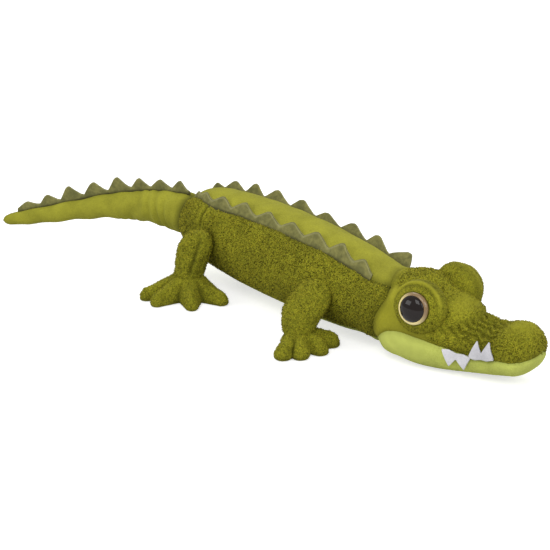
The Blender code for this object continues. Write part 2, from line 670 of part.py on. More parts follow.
def make_teeth(name, side, centre_share, direction, parent):
    """Two felt teeth in one strip, sewn in at the jaw seam. direction is 1 for teeth that point up."""
    corners = (-1.0, -0.5, 0.0, 0.5, 1.0)
    phases = np.linspace(corners[0], corners[-1], TOOTH_COLUMNS)
    reach = np.interp(phases, corners, (TOOTH_EDGE, TOOTH_HEIGHT, TOOTH_ROOT, TOOTH_HEIGHT, TOOTH_EDGE))
    forward = centre_share * HEAD_LENGTH + phases * TOOTH_WIDTH
    rows = np.linspace(0.0, 1.0, TOOTH_ROWS)
    rise = direction * (GAP + rows[None, :] * reach[:, None])
    angle = side * head_angle(forward[:, None], jaw_height(forward)[:, None] + rise)
    inner = head_point(forward[:, None], angle, -TOOTH_GAP)
    outer = head_point(forward[:, None], angle, -TOOTH_GAP - TOOTH_THICKNESS)
    add_object(name, slab_mesh(name, outer, inner), materials["felt"], parts, parent)


def tail_line(share):
    """The tail's centre line from its joint: it runs back, curves to the right and sinks to the tip under
    a low arch."""
    backward = -TAIL_LENGTH * share
    sideways = -TAIL_SIDE_REACH * share ** TAIL_SIDE_POWER
    fall = (TAIL_TIP_HEIGHT - RUMP_AXIS_HEIGHT) * share ** TAIL_FALL_POWER
    arch = TAIL_ARCH * np.sin(np.pi * share) + TAIL_ARCH_LEAD * np.sin(2 * np.pi * share)
    return np.stack([backward, sideways, fall + arch], -1)


def tail_frame(share):
    """Unit vectors along the tail towards its tip, to the animal's right and upward."""
    step = GAP / TAIL_LENGTH
    along = unit(tail_line(share + step) - tail_line(np.maximum(share - step, 0.0)))
    right = unit(np.cross(np.array([0.0, 0.0, 1.0]), along))
    return along, right, np.cross(along, right)


def tail_radius(share, inset):
    seat = np.array([TAIL_ROOT_DIAMETER / 2])
    radii = np.concatenate([seat, np.array(TAIL_GIRTH_SHARES) * TAIL_ROOT_DIAMETER / 2])
    radius = curve_through(TAIL_STATION_SHARES, radii, share) - inset
    dome = TAIL_TIP_DOME_LENGTH / TAIL_LENGTH
    into_tip = (share - (1.0 - dome)) / (dome - inset / TAIL_LENGTH)
    return radius * np.sqrt(np.clip(1.0 - np.clip(into_tip, 0.0, 1.0) ** 2, 0.0, 1.0))


def tail_point(share, angle, inset=0.0):
    """Points of the tail's skin about its centre line; the angle is 0 at the top."""
    _, right, up = tail_frame(share)
    radius = tail_radius(share, inset)[..., None]
    angle = np.asarray(angle)[..., None]
    return tail_line(share) + radius * (right * np.sin(angle) + up * np.cos(angle))


def tail_stations(inset):
    """Shares of the tail's rings, closer together where the tip rounds off."""
    polar = np.pi / 2 - TAIL_SWING
    first = ((TAIL_SEAT_RADIUS + GAP + WALL) * np.cos(polar) + TAIL_RIM_LENGTH) / TAIL_LENGTH
    dome = TAIL_TIP_DOME_LENGTH / TAIL_LENGTH
    straight = np.linspace(first, 1.0 - dome, TAIL_RINGS)
    turn = np.linspace(0.0, np.pi / 2, DOME_RINGS)[1:]
    return np.concatenate([straight, straight[-1] + (dome - inset / TAIL_LENGTH) * np.sin(turn)])


def tail_seat_ring(radius, polar, angles):
    """A ring on a ball about the tail's joint, at a polar angle from the tail's own direction."""
    along, right, up = tail_frame(np.array(0.0))
    around = right * np.sin(angles)[:, None] + up * np.cos(angles)[:, None]
    return radius * (along * np.cos(polar) + around * np.sin(polar))


def tail_seam_angles(shares):
    """Angles across the tail's one panel, which starts and ends at the seam on top. The seam is as
    wide as the spines' band, and closes beyond the last spine."""
    wide = SPINE_THICKNESS / 2 + GAP
    clearance = np.interp(shares, (TAIL_SPINE_SHARES[1] + GAP / TAIL_LENGTH, 1.0), (wide, GAP / 2))
    half = clearance / np.maximum(tail_radius(shares, WALL), wide)
    return half[:, None] + (2 * np.pi - 2 * half)[:, None] * np.linspace(0.0, 1.0, TAIL_SIDES + 1)


def make_tail(parent):
    """Velour cover sewn along its top, filling with a hollow for the body's end, and a row of spines."""
    polar = np.pi / 2 - TAIL_SWING - GAP / TAIL_SEAT_RADIUS
    reach = np.linspace(0.0, polar - 2 * FILLING_GAP / TAIL_SEAT_RADIUS, DOME_RINGS)
    seat = hollow_radius(TAIL_SEAT_RADIUS + GAP, TAIL_SIDES, reach[1])
    faces = []
    for inset, rim_radius in ((0.0, seat + WALL), (WALL, seat)):
        shares = tail_stations(inset)
        angles = tail_seam_angles(shares)
        skin = tail_point(shares[:, None], angles, inset)
        faces.append(np.concatenate([tail_seat_ring(rim_radius, polar, angles[0])[None], skin]))
    add_object("tail_cover", slab_mesh("tail_cover", *faces), materials["velour"], parts, parent)

    around = np.linspace(0.0, 2 * np.pi, TAIL_SIDES, endpoint=False)
    hollow = np.stack([tail_seat_ring(seat, angle, around) for angle in reach])
    inset = WALL + FILLING_GAP
    rings = np.concatenate([hollow, tail_point(tail_stations(inset)[:, None], around, inset)])
    add_object("tail_filling", closed_mesh("tail_filling", rings), materials["filling"], parts, parent)

    first, last = TAIL_SPINE_SHARES
    phases, heights = spine_outline(TAIL_SPINE_WIDTH_SHARES[::-1], TAIL_SPINE_SIZE_SHARES[::-1],
                                    TAIL_SPINE_HEIGHT)
    shares = last + (first - last) * phases
    _, right, up = tail_frame(shares)
    skin = tail_point(shares, np.zeros_like(shares))
    foot = tail_point(shares, np.zeros_like(shares), WALL)
    spine_row("tail_spines", foot, skin, up, right, heights, parent)


def leg_seat(place, side):
    """Point, outward normal and joint frame where a leg touches the body's side."""
    at = np.array(place / BODY_LENGTH)
    angle = side * LEG_SEAT_ANGLE
    point = body_point(at, angle)
    step = GAP
    along = body_point(at + step, angle) - body_point(at - step, angle)
    around = body_point(at, angle + side * step) - body_point(at, angle - side * step)
    normal = unit(np.cross(along, around)) * side
    if normal[1] * -side < 0:
        normal = -normal
    return Vector(point), Vector(normal)


def leg_rings(top, foot, top_height, diameter, inset):
    """Rings of a leg from the ankle up: it widens to the hip and ends in a dome. The centre line is
    straight, and each ring is level."""
    drop = top_height - ANKLE_HEIGHT
    dome_foot = 1.0 - diameter / (2 * drop)
    straight = np.linspace(0.0, dome_foot, DOME_RINGS)
    turn = np.linspace(0.0, np.pi / 2, DOME_RINGS + 1)[1:]
    levels = np.concatenate([straight, dome_foot + (1.0 - dome_foot) * np.sin(turn)])
    ankle = ANKLE_DIAMETER / 2 - inset
    radius = ankle + (diameter / 2 - inset - ankle) * np.minimum(levels / dome_foot, 1.0)
    into_dome = np.clip((levels - dome_foot) / (1.0 - dome_foot), 0.0, 1.0)
    radius = radius * np.sqrt(1.0 - into_dome ** 2)
    height = ANKLE_HEIGHT + GAP / 2 + (drop - inset) * levels
    centre = foot + (top - foot) * (levels * (drop - inset) / drop)[:, None]
    angles = np.linspace(0.0, 2 * np.pi, LEG_SIDES, endpoint=False)
    x = centre[:, 0, None] + radius[:, None] * np.cos(angles)
    y = centre[:, 1, None] + radius[:, None] * np.sin(angles)
    z = np.broadcast_to(height[:, None], x.shape)
    return np.stack([x, y, z], -1)


def toe_outline(angles, toe_reach, toe_radius, toes):
    """Distance of the foot's outline from the ankle: the pad's circle, and a round end to each toe."""
    outline = np.full_like(angles, FOOT_PAD_RADIUS)
    for toe_angle, reach_share in toes:
        reach = toe_reach * reach_share
        off = (angles - toe_angle + np.pi) % (2 * np.pi) - np.pi
        inside = np.clip(toe_radius ** 2 - (reach * np.sin(off)) ** 2, 0.0, None)
        toe = np.where((inside > 0) & (np.cos(off) > 0), reach * np.cos(off) + np.sqrt(inside), 0.0)
        outline = np.maximum(outline, toe)
    return outline


def foot_angles(toe_reach, toe_radius, toes):
    """Angles round a foot: five to each toe, one in each fork, and an even run round the heel."""
    centres = np.array([toe[0] for toe in toes])
    halves = np.arcsin(toe_radius / (toe_reach * np.array([toe[1] for toe in toes])))
    ends = (centres[:, None] + halves[:, None] * np.array(TOE_ANGLE_SHARES)).ravel()
    forks = (centres[1:] - halves[1:] + centres[:-1] + halves[:-1]) / 2
    heel = np.linspace(centres[-1] + halves[-1], centres[0] - halves[0] + 2 * np.pi, HEEL_STEPS)
    return np.sort(np.concatenate([ends, forks, heel[1:-1]]))


def foot_rings(toe_reach, toe_radius, toes, turn_out, side):
    """Rings of a stuffed foot with splayed toes: a flat sole, round edges and a top that rises to the
    ankle. The toes fan out about a line that is turned outward from straight ahead."""
    angles = foot_angles(toe_reach, toe_radius, toes)
    outline = toe_outline(angles, toe_reach, toe_radius, toes)
    edge = np.linspace(0.0, np.pi, FOOT_RINGS)
    toe_height = TOE_TOP_SHARE * FOOT_THICKNESS
    top = np.array(FOOT_TOP_SHARES)
    widths = np.concatenate([[0.0], SOLE_SHARE + (1 - SOLE_SHARE) * np.sin(edge), top[:, 0]])
    heights = np.concatenate([[0.0], toe_height * (1 - np.cos(edge)) / 2,
                              toe_height + (FOOT_THICKNESS - toe_height) * top[:, 1]])
    reach = outline * widths[:, None]
    heading = angles - turn_out
    x = reach * np.cos(heading)
    y = side * reach * np.sin(heading)
    return np.stack([x, y, np.broadcast_to(heights[:, None], x.shape)], -1)


def make_leg(name, side, place, diameter, seat_share, top_height, ankle_step, toe_reach, toe_radius, toes,
             turn_out):
    """A leg cover, its filling and a foot, parented to an empty on the hip or shoulder seat."""
    point, normal = leg_seat(place, side)
    pivot = bpy.data.objects.new(name + "_pivot", None)
    parts.objects.link(pivot)
    pivot.parent = root
    pivot.location = point
    to_local = Matrix.Translation(-point)
    radius = diameter / 2
    out = normal.copy()
    out.z = 0.0
    out.normalize()
    top = np.array(point + out * radius * (1.0 - seat_share))
    foot = top + np.array([ankle_step[0], -side * ankle_step[1], 0.0])
    plane_point = point + normal * GAP
    middle = Vector((foot[0], foot[1], 0.0))

    def seated(item):
        item.data.transform(to_local)
        item.parent = pivot
        return item

    cover = add_object("leg_" + name, closed_mesh("leg", leg_rings(top, foot, top_height, diameter, 0.0)),
                       materials["pile"], parts)
    inner = make_cutter("hollow_" + name, closed_mesh("hollow", leg_rings(top, foot, top_height, diameter,
                                                                        WALL)))
    stretch_down(inner.data, (foot - top) / (top_height - ANKLE_HEIGHT))
    cut(cover, inner)
    cut_flat(cover, plane_point, -normal)
    seated(cover)
    inner.data.transform(to_local)
    inner.parent = pivot
    filling = add_object("leg_filling_" + name, closed_mesh("leg_filling", leg_rings(
        top, foot, top_height, diameter, WALL + FILLING_GAP)), materials["filling"], parts)
    cut_flat(filling, plane_point, -normal)
    seated(filling)
    shape = closed_mesh("foot", foot_rings(toe_reach, toe_radius, toes, turn_out, side))
    shape.transform(Matrix.Translation(middle))
    sole = add_object("foot_" + name, shape, materials["pile"], parts)
    cut_flat(sole, (0.0, 0.0, ANKLE_HEIGHT - GAP / 2), (0.0, 0.0, 1.0))
    cut_flat(sole, plane_point, -normal)
    seated(sole)


def stretch_down(mesh, lean):
    """Moves a hollow's lowest ring down along the leg, so that the hollow opens at the ankle."""
    lowest = min(vertex.co.z for vertex in mesh.vertices)
    for vertex in mesh.vertices:
        if vertex.co.z < lowest + GAP:
            vertex.co += Vector((lean[0], lean[1], -1.0)) * OVERRUN


def centre_over_footprint():
    """Moves the whole toy so that its box stands over the middle of the world, on the floor."""
    bpy.context.view_layer.update()
    corners = [item.matrix_world @ vertex.co for item in parts.objects if item.type == "MESH"
               for vertex in item.data.vertices]
    for axis in (0, 1):
        values = [corner[axis] for corner in corners]
        root.location[axis] -= (min(values) + max(values)) / 2


def add_empty(name, location, turn=0.0):
    empty = bpy.data.objects.new(name, None)
    parts.objects.link(empty)
    empty.location = location
    empty.rotation_euler = (0.0, 0.0, turn)
    return empty


clear_scene()
parts = make_collection("plush_crocodile")
cutters = make_collection("cutters")
materials = {name: make_material(name) for name in COLOURS}
root = add_empty("crocodile", (0.0, 0.0, 0.0))
head_pivot = add_empty("head_pivot", (BODY_LENGTH, 0.0, NECK_AXIS_HEIGHT), HEAD_TURN)
tail_pivot = add_empty("tail_pivot", (0.0, 0.0, RUMP_AXIS_HEIGHT))
head_pivot.parent = root
tail_pivot.parent = root

make_body(root)
make_back_spines(1, "right", root)
make_back_spines(-1, "left", root)
head_cover, jaw_panel, head_filling = make_head(head_pivot)
for eye_side, eye_suffix in ((1, "right"), (-1, "left")):
    make_eye(eye_side, eye_suffix, head_cover, head_filling, head_pivot)
    make_teeth("upper_teeth_" + eye_suffix, eye_side, UPPER_TEETH_FORWARD_SHARE, 1, head_pivot)
    make_teeth("lower_teeth_" + eye_suffix, eye_side, LOWER_TEETH_FORWARD_SHARE, -1, head_pivot)
make_tail(tail_pivot)
for leg_side, leg_suffix in ((1, "right"), (-1, "left")):
    make_leg("hind_" + leg_suffix, leg_side, HIP_PLACE, HIND_LEG_DIAMETER, HIND_LEG_SEAT_SHARE,
             HIND_LEG_TOP_HEIGHT, HIND_ANKLE_STEP, HIND_TOE_REACH, HIND_TOE_RADIUS, HIND_TOES, HIND_TURN_OUT)
    make_leg("front_" + leg_suffix, leg_side, SHOULDER_PLACE, FRONT_LEG_DIAMETER, FRONT_LEG_SEAT_SHARE,
             FRONT_LEG_TOP_HEIGHT, FRONT_ANKLE_STEP, FRONT_TOE_REACH, FRONT_TOE_RADIUS, FRONT_TOES,
             FRONT_TURN_OUT)
centre_over_footprint()
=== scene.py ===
"""Looks of a plush crocodile: sewn pile, velour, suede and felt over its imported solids.

Each stuffed form is a surface of two parameters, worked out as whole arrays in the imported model's frame:
metres, +X towards the head, +Y the animal's left, +Z up.
"""

import json
from collections import namedtuple

import bpy
import numpy as np
from bpy.props import FloatProperty, FloatVectorProperty, PointerProperty
from mathutils import Matrix, Vector


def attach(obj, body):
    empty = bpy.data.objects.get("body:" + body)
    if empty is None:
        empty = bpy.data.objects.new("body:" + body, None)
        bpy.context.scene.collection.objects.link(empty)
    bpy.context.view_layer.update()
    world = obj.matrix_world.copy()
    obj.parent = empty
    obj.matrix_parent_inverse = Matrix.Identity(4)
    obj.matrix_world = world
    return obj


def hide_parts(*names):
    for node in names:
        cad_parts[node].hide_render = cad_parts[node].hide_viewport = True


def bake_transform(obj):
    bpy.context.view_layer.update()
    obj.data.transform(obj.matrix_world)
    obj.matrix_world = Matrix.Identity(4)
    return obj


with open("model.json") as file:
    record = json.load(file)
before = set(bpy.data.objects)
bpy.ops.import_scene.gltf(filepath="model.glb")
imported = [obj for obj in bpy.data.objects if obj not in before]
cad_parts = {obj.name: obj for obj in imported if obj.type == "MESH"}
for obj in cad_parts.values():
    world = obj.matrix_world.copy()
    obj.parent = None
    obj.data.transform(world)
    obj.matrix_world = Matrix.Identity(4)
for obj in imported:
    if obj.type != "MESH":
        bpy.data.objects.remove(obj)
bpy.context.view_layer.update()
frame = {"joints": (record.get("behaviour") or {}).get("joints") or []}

bl_info = {
    "name": "Plush crocodile",
    "version": (1, 0, 0),
    "blender": (4, 5, 0),
    "location": "View3D > Sidebar > Crocodile",
    "description": "Dresses the solids of a stuffed crocodile in sewn cloth",
    "category": "Object",
}

JOINTS = {joint["name"]: joint for joint in frame["joints"]}
NECK = np.array(JOINTS["neck_turn"]["pos_m"])
TAIL = np.array(JOINTS["tail_sway"]["pos_m"])
BODY_LENGTH = NECK[0] - TAIL[0]

# Body, from the tail seam to the neck seam: the same stations as the solids
NECK_RADIUS = 0.0275
TAIL_RADIUS = 0.0185
BODY_WIDTH = 0.0700
BODY_HEIGHT = 0.0735
HIP_RISE = 0.0015
BODY_STATIONS = (0.0, 0.10, 0.22, 0.36, 0.50, 0.64, 0.78, 0.90, 1.0)
BODY_GIRTH = (0.80, 0.93, 0.99, 1.00, 0.99, 0.95, 0.87)
BODY_AXIS = (0.0, 0.55, 0.95, 1.00, 0.86, 0.62, 0.36, 0.15, 0.0)
BACK_STATIONS = (0.0, 0.14, 0.36, 0.60, 0.82, 1.0)
BACK_ANGLES = np.radians((21.0, 38.0, 40.5, 41.0, 42.0, 46.0))
BACK_ROLL = np.radians(4.7)
BELLY_ANGLE = np.radians(36.0)
RUMP_STEP = 0.0090      # the body's cloth runs this far over the tail, to the tail seam
# And this far over the head, to the neck seam, at angles from the top
NECK_STEP_ANGLES = np.radians((0.0, 30.0, 60.0, 90.0, 120.0, 180.0))
NECK_STEPS = (0.0095, 0.0140, 0.0165, 0.0112, 0.0060, 0.0065)
SEAM_WIDTH = 0.0030
END_SEAM_WIDTH = 0.0042
DART_PLACE = 0.0390     # the dart over the hips, forward of the tail joint
DART_SPAN = (38, 46, 62, 92)    # degrees from the top: it opens over the first two, fades over the last two
WRINKLE_PITCH = 0.017

# Head, forward of the neck joint
HEAD_TURN = np.radians(11.0)
HEAD_LENGTH = 0.1360
HEAD_WIDTH = 0.0700
HEAD_HEIGHT = 0.0670
NOSE_DOME = 0.0180
THROAT_SAG = 0.0062
NECK_DRAW = 0.012       # the head's skin is drawn in to the body's end over this length
HEAD_STATIONS = (0.0, 0.14, 0.28, 0.42, 0.56, 0.72, 0.86, 1.0)
HEAD_WIDTHS = (0.95, 0.99, 0.90, 0.74, 0.65, 0.62, 0.62)
HEAD_TOPS = (0.985, 0.980, 0.850, 0.690, 0.640, 0.700, 0.680)
HEAD_BOTTOMS = (0.045, 0.008, 0.005, 0.017, 0.055, 0.105, 0.150)
JAW_FULLNESS = 0.74
JAW_STATIONS = (0.0, 0.07, 0.12, 0.19, 0.26, 0.36, 0.48, 0.60, 0.72, 0.80, 0.868, 1.0)
JAW_LEVELS = (0.0130, 0.0188, 0.0230, 0.0268, 0.0286, 0.0271, 0.0237, 0.0207, 0.0202, 0.0209, 0.0215, 0.0220)
BRIDGE_FOLD_PITCH = 0.0058

# Eyes
EYE_PLACE = (0.354 * HEAD_LENGTH, 0.0262, 0.0500)    # forward, sideways, above the floor
EYE_YAW = np.radians(6.0)
EYE_PITCH = np.radians(10.0)
EYE_RADIUS = 0.0120
PUPIL_RADIUS = 0.0099
MOUND_SIZE = (0.0410, 0.0400, 0.0300)
MOUND_SEAM = 0.0188         # radius of the stitched ridge round the eye
MOUND_CREASES = (0.0171, 0.0201)    # and of the painted shade lines inside and outside it
FAR_MOUND_SHARE = 0.965     # the left mound is sewn a little smaller
FAR_EYE_SHY = 0.0018        # and sits this much further back and in
EYE_SEAT = 0.0040           # depth of the flat that seats the eye
EYE_FOOT = MOUND_SIZE[2] / 2 - EYE_SEAT + 0.0003    # where the moulded eye starts, from the mound's middle

# Teeth: middle of the strip as a share of the head, up or down, half length, place of the first tip and the
# levels of the free edge
Teeth = namedtuple("Teeth", "middle way half_length first_tip levels")
TEETH = {
    "upper": Teeth(0.733, 1, 0.0100, -0.50, (0.0012, 0.0117, 0.0040, 0.0117, 0.0012)),
    "lower": Teeth(0.588, -1, 0.0108, -0.57, (0.0012, 0.0111, 0.0036, 0.0104, 0.0012)),
}

# Tail
TAIL_LENGTH = 0.1950
TAIL_SIDE_REACH = 0.0700
TAIL_TIP_HEIGHT = 0.0060
TAIL_ARCH = 0.0082
TAIL_ARCH_LEAD = 0.0020
TAIL_THICK = 0.0390
TAIL_STATIONS = (0.0, 0.15, 0.32, 0.48, 0.64, 0.80, 0.92, 1.0)
TAIL_GIRTH = (0.84, 0.70, 0.57, 0.47, 0.39, 0.32, 0.24)
TAIL_TIP_DOME = 0.0060
TAIL_FOLD_PITCH = 0.0125
TAIL_SAG_PITCH = 0.031

# Spines
BACK_SPINE_HEIGHT = 0.0112
TAIL_SPINE_HEIGHT = 0.0118
SPINE_BAND = 0.0036
BACK_SPINE_RUN = (0.01, 0.992)
TAIL_SPINE_RUN = (0.070, 0.918)
# An outline's points are shares of a spine's width and height
SPINE_OUTLINE = ((0.0, 0.0), (0.34, 0.86), (0.45, 1.0), (0.52, 0.97), (0.66, 0.60), (0.86, 0.14))
FAR_OUTLINE = ((0.0, 0.0), (0.23, 0.86), (0.34, 1.0), (0.43, 0.97), (0.61, 0.60), (0.86, 0.14))
SQUARE_OUTLINE = ((0.0, 0.0), (0.10, 0.30), (0.62, 1.26), (0.80, 1.30), (0.88, 1.0), (0.99, 0.2))
# Each row's spine widths and heights as shares, its lean, the spines' outline and the last one's. The right
# row folds over the back.
Row = namedtuple("Row", "widths tall lean outline last")
BACK_ROWS = {
    "right": Row((0.62, 0.84, 1.08, 1.22, 1.18, 1.10, 1.16, 1.07, 0.83),
                 (0.44, 0.60, 0.80, 0.88, 0.86, 0.84, 0.92, 1.02, 0.80), -0.62, SPINE_OUTLINE, SPINE_OUTLINE),
    "left": Row((0.60, 0.82, 0.93, 1.37, 1.38, 1.33, 1.34, 1.20, 1.05),
                (0.74, 0.90, 1.06, 1.06, 1.02, 0.84, 0.98, 1.02, 1.0), 1.00, FAR_OUTLINE, SQUARE_OUTLINE),
}
# The tail's row runs from the tip to the root
TAIL_ROW = Row((1.00, 0.95, 1.10, 1.12, 1.02, 0.90, 0.94, 0.83),
               (0.66, 0.86, 1.16, 1.08, 1.17, 0.96, 0.88, 0.94), 0.0, SPINE_OUTLINE, SPINE_OUTLINE)

# Legs: into_foot is how far the leg goes down into the foot, as a share of its drop; gather is the seam that
# draws the leg in along its side, and the last field is how dark the painted shade in that seam is
ANKLE_HEIGHT = 0.0170
ANKLE_RADIUS = 0.0120
Leg = namedtuple("Leg", "diameter seat_share top_height ankle_step into_foot "
                 "gather_angle gather_depth gather_crease")
LEGS = {
    "hind": Leg(0.0278, 0.30, 0.0540, (-0.0040, 0.0080), -0.22, 0.86, 0.0017, 0.60),
    "front": Leg(0.0330, 0.30, 0.0480, (0.0040, 0.0115), -0.33, 0.45, 0.0005, 0.15),
}

# Feet: toe reach and radius, its size at the root and its taper, pad radius, toe height, height at the
# ankle, how far below the ankle the seam lies, turn out, and each toe's direction and length
Foot = namedtuple("Foot", "reach thick root taper pad toe_height height seam_drop turn_out toes")
FEET = {
    "hind": Foot(0.0340, 0.0078, 1.95, 1.27, 0.0150, 0.0120, 0.0205, 0.0025, 47.0,
                 ((-63.0, 1.06), (-36.0, 1.05), (13.0, 1.03), (56.0, 1.05))),
    "front": Foot(0.0252, 0.0068, 1.50, 0.60, 0.0125, 0.0112, 0.0165, 0.0060, 20.0,
                  ((-47.0, 1.08), (-18.0, 0.93), (27.0, 0.84), (72.0, 0.98))),
}
TOE_BLEND = 0.0020    # toes and pad run together over this width
SOLE_RIM = 0.0019     # height of the seam round the flat sole

# Camera and photograph
CAMERA_AZIMUTH = np.radians(50.0)
CAMERA_HEIGHT_ANGLE = np.radians(20.0)
CAMERA_DISTANCE = 1.62
FOCAL_PIXELS = 2041.2
PHOTO_SIZE = 550
TARGET_PIXEL = (290.0, 250.0)
SENSOR = 36.0
CAMERA_AIM_HEIGHT = 0.045

# Floor, world and lamps
STAGE_REACH = 3.0
FLOOR_TONE = 0.62
FLOOR_GLOW = 0.62       # what the camera sees beside the lit floor, so that it comes out white
WORLD_LIGHT = 0.72
# Soft boxes: name, place, size in metres and power in watts
LAMPS = (
    ("key", (0.9, -1.1, 1.5), (1.0, 1.0), 16.0),
    ("side", (-0.4, -1.3, 0.6), (0.7, 0.5), 4.5),
    ("fill", (1.6, 0.3, 0.9), (0.8, 0.8), 8.0),
    ("back", (-0.9, 0.9, 1.4), (0.9, 0.9), 9.0),
)
LAMP_AIM = (0.03, 0.0, 0.04)


def linear(text):
    """An sRGB hex colour as linear red, green and blue."""
    value = np.array([int(text[place:place + 2], 16) for place in (0, 2, 4)]) / 255.0
    return tuple(np.where(value <= 0.04045, value / 12.92, ((value + 0.055) / 1.055) ** 2.4))


class CrocodileSizes(bpy.types.PropertyGroup):
    """Sizes of the sewing that a user may change."""

    pile_relief: FloatProperty(name="Pile relief", description="Height of the tufts of the pile cloth",
                               default=0.0003, min=0.0, max=0.002, subtype="DISTANCE", unit="LENGTH")
    seam_depth: FloatProperty(name="Seam depth", description="How far a seam pulls the cloth in",
                              default=0.0014, min=0.0, max=0.004, subtype="DISTANCE", unit="LENGTH")
    lumps: FloatProperty(name="Stuffing lumps", description="How far the stuffing bulges and dips",
                         default=0.0007, min=0.0, max=0.003, subtype="DISTANCE", unit="LENGTH")
    pile_length: FloatProperty(name="Pile length", description="Length of a tuft of the pile cloth",
                               default=0.0014, min=0.0005, max=0.004, subtype="DISTANCE", unit="LENGTH")
    cloth: FloatProperty(name="Cloth", description="Thickness of the cloth",
                         default=0.0014, min=0.0005, max=0.003, subtype="DISTANCE", unit="LENGTH")


def colour(name, text, words):
    """A colour that a user may change."""
    return FloatVectorProperty(name=name, description=words, default=linear(text), size=3, min=0.0, max=1.0,
                               subtype="COLOR")


class CrocodileColours(bpy.types.PropertyGroup):
    """Colours of the cloths and of the eyes."""

    pile: colour("Pile", "737417", "Middle colour of the dark olive pile")
    pile_shade: colour("Pile shade", "484909", "Colour between the tufts")
    pile_tip: colour("Pile tips", "A89F2A", "Colour of the tufts that catch the light")
    shorn_pile: colour("Shorn pile", "8F8C25", "Smooth olive of the collar, the cheek and the brow")
    velour: colour("Velour", "8D8B2B", "Yellow-green velour of the back and tail")
    velour_shade: colour("Velour shade", "787722", "Velour brushed away from the light")
    pale: colour("Pale velour", "B4BB5C", "Light green velour of the jaw and belly")
    pale_shade: colour("Pale velour shade", "A0A84C", "Pale velour brushed away from the light")
    suede: colour("Suede", "777443", "Grey-olive suede of the spines")
    suede_shade: colour("Suede shade", "605F37", "Suede brushed away from the light")
    # The suede edge colour is a painted highlight along the spines' free edge
    suede_edge: colour("Suede edge", "99966A", "Cut edge of the suede")
    felt: colour("Felt", "C9C8CC", "White felt of the teeth")
    felt_shade: colour("Felt shade", "B3B2BA", "Felt between its matted fibres")
    # The iris colours are painted light and shade on the eye's rim: cream where the light comes through it,
    # brown on the side away from the light
    iris: colour("Iris", "DCCB8C", "Cream rim of the eye")
    iris_shade: colour("Iris shade", "7A6240", "Brown side of the eye's rim")
    pupil: colour("Pupil", "1B1513", "Very dark brown dome of the eye")


def sizes():
    """The sizes that the user has set."""
    return bpy.context.scene.crocodile_sizes


def colours(name):
    """One of the user's colours, with a full alpha."""
    return (*getattr(bpy.context.scene.crocodile_colours, name), 1.0)


# Curves, noise and meshes

def curve_through(places, values, at):
    """A curve without kinks through (places, values): cubic pieces whose slopes at a place are shared."""
    places = np.asarray(places, dtype=float)
    values = np.asarray(values, dtype=float)
    slopes = np.gradient(values, places)
    piece = np.clip(np.searchsorted(places, at, side="right") - 1, 0, len(places) - 2)
    width = places[piece + 1] - places[piece]
    t = (at - places[piece]) / width
    start = (1 + 2 * t) * (1 - t) ** 2 * values[piece] + t * (1 - t) ** 2 * width * slopes[piece]
    end = t * t * (3 - 2 * t) * values[piece + 1] + t * t * (t - 1) * width * slopes[piece + 1]
    return start + end


def smooth_step(low, high, value):
    """0 below low, 1 above high, and 3t^2 - 2t^3 between them."""
    t = np.clip((value - low) / (high - low), 0.0, 1.0)
    return t * t * (3 - 2 * t)


def dip(distance, width):
    """A rounded dip of depth 1: exp(-(distance / width)^2)."""
    return np.exp(-(distance / width) ** 2)


def wrap(angle):
    """An angle brought to between -pi and pi."""
    return (angle + np.pi) % (2 * np.pi) - np.pi


def unit(vectors):
    """Vectors divided by their lengths."""
    return vectors / np.maximum(np.linalg.norm(vectors, axis=-1, keepdims=True), 1e-12)


def soft_noise(points, size, seed):
    """Smooth noise from -1 to 1: random values on a cubic lattice of the given size, eased between them."""
    table = np.random.default_rng(seed).uniform(-1.0, 1.0, 4096)
    place = points / size + 1000.0
    cell = np.floor(place).astype(np.int64)
    t = place - cell
    t = t * t * (3 - 2 * t)
    total = np.zeros(points.shape[:-1])
    for corner in np.ndindex(2, 2, 2):
        offset = cell + np.array(corner)
        index = (offset[..., 0] * 73856093) ^ (offset[..., 1] * 19349663) ^ (offset[..., 2] * 83492791)
        weight = np.prod(np.where(np.array(corner), t, 1 - t), axis=-1)
        total += weight * table[index % 4096]
    return total


def grid_normals(points):
    """Outward normals of a grid: the cross product of its two central differences."""
    rows = np.gradient(points, axis=0)
    columns = np.gradient(points, axis=1)
    return unit(np.cross(rows, columns))


def relief(points, normals, amount):
    """Moves points along their normals: stuffing lumps 30 and 14 mm across, and pile tufts 2.6 and 1.3 mm
    across."""
    lumps = soft_noise(points, 0.030, 3) + 0.5 * soft_noise(points, 0.014, 5)
    tufts = soft_noise(points, 0.0026, 7) + 0.6 * soft_noise(points, 0.0013, 11)
    return points + normals * (lumps * sizes().lumps + tufts * sizes().pile_relief * amount)[..., None]


def grid_faces(rows, columns, closed):
    """Quads of a grid numbered row by row; a closed grid joins its last column to its first."""
    row = np.arange(rows - 1)[:, None]
    column = np.arange(columns if closed else columns - 1)[None, :]
    right = (column + 1) % columns
    return np.stack([row * columns + column, row * columns + right, (row + 1) * columns + right,
                     (row + 1) * columns + column], -1).reshape(-1, 4)


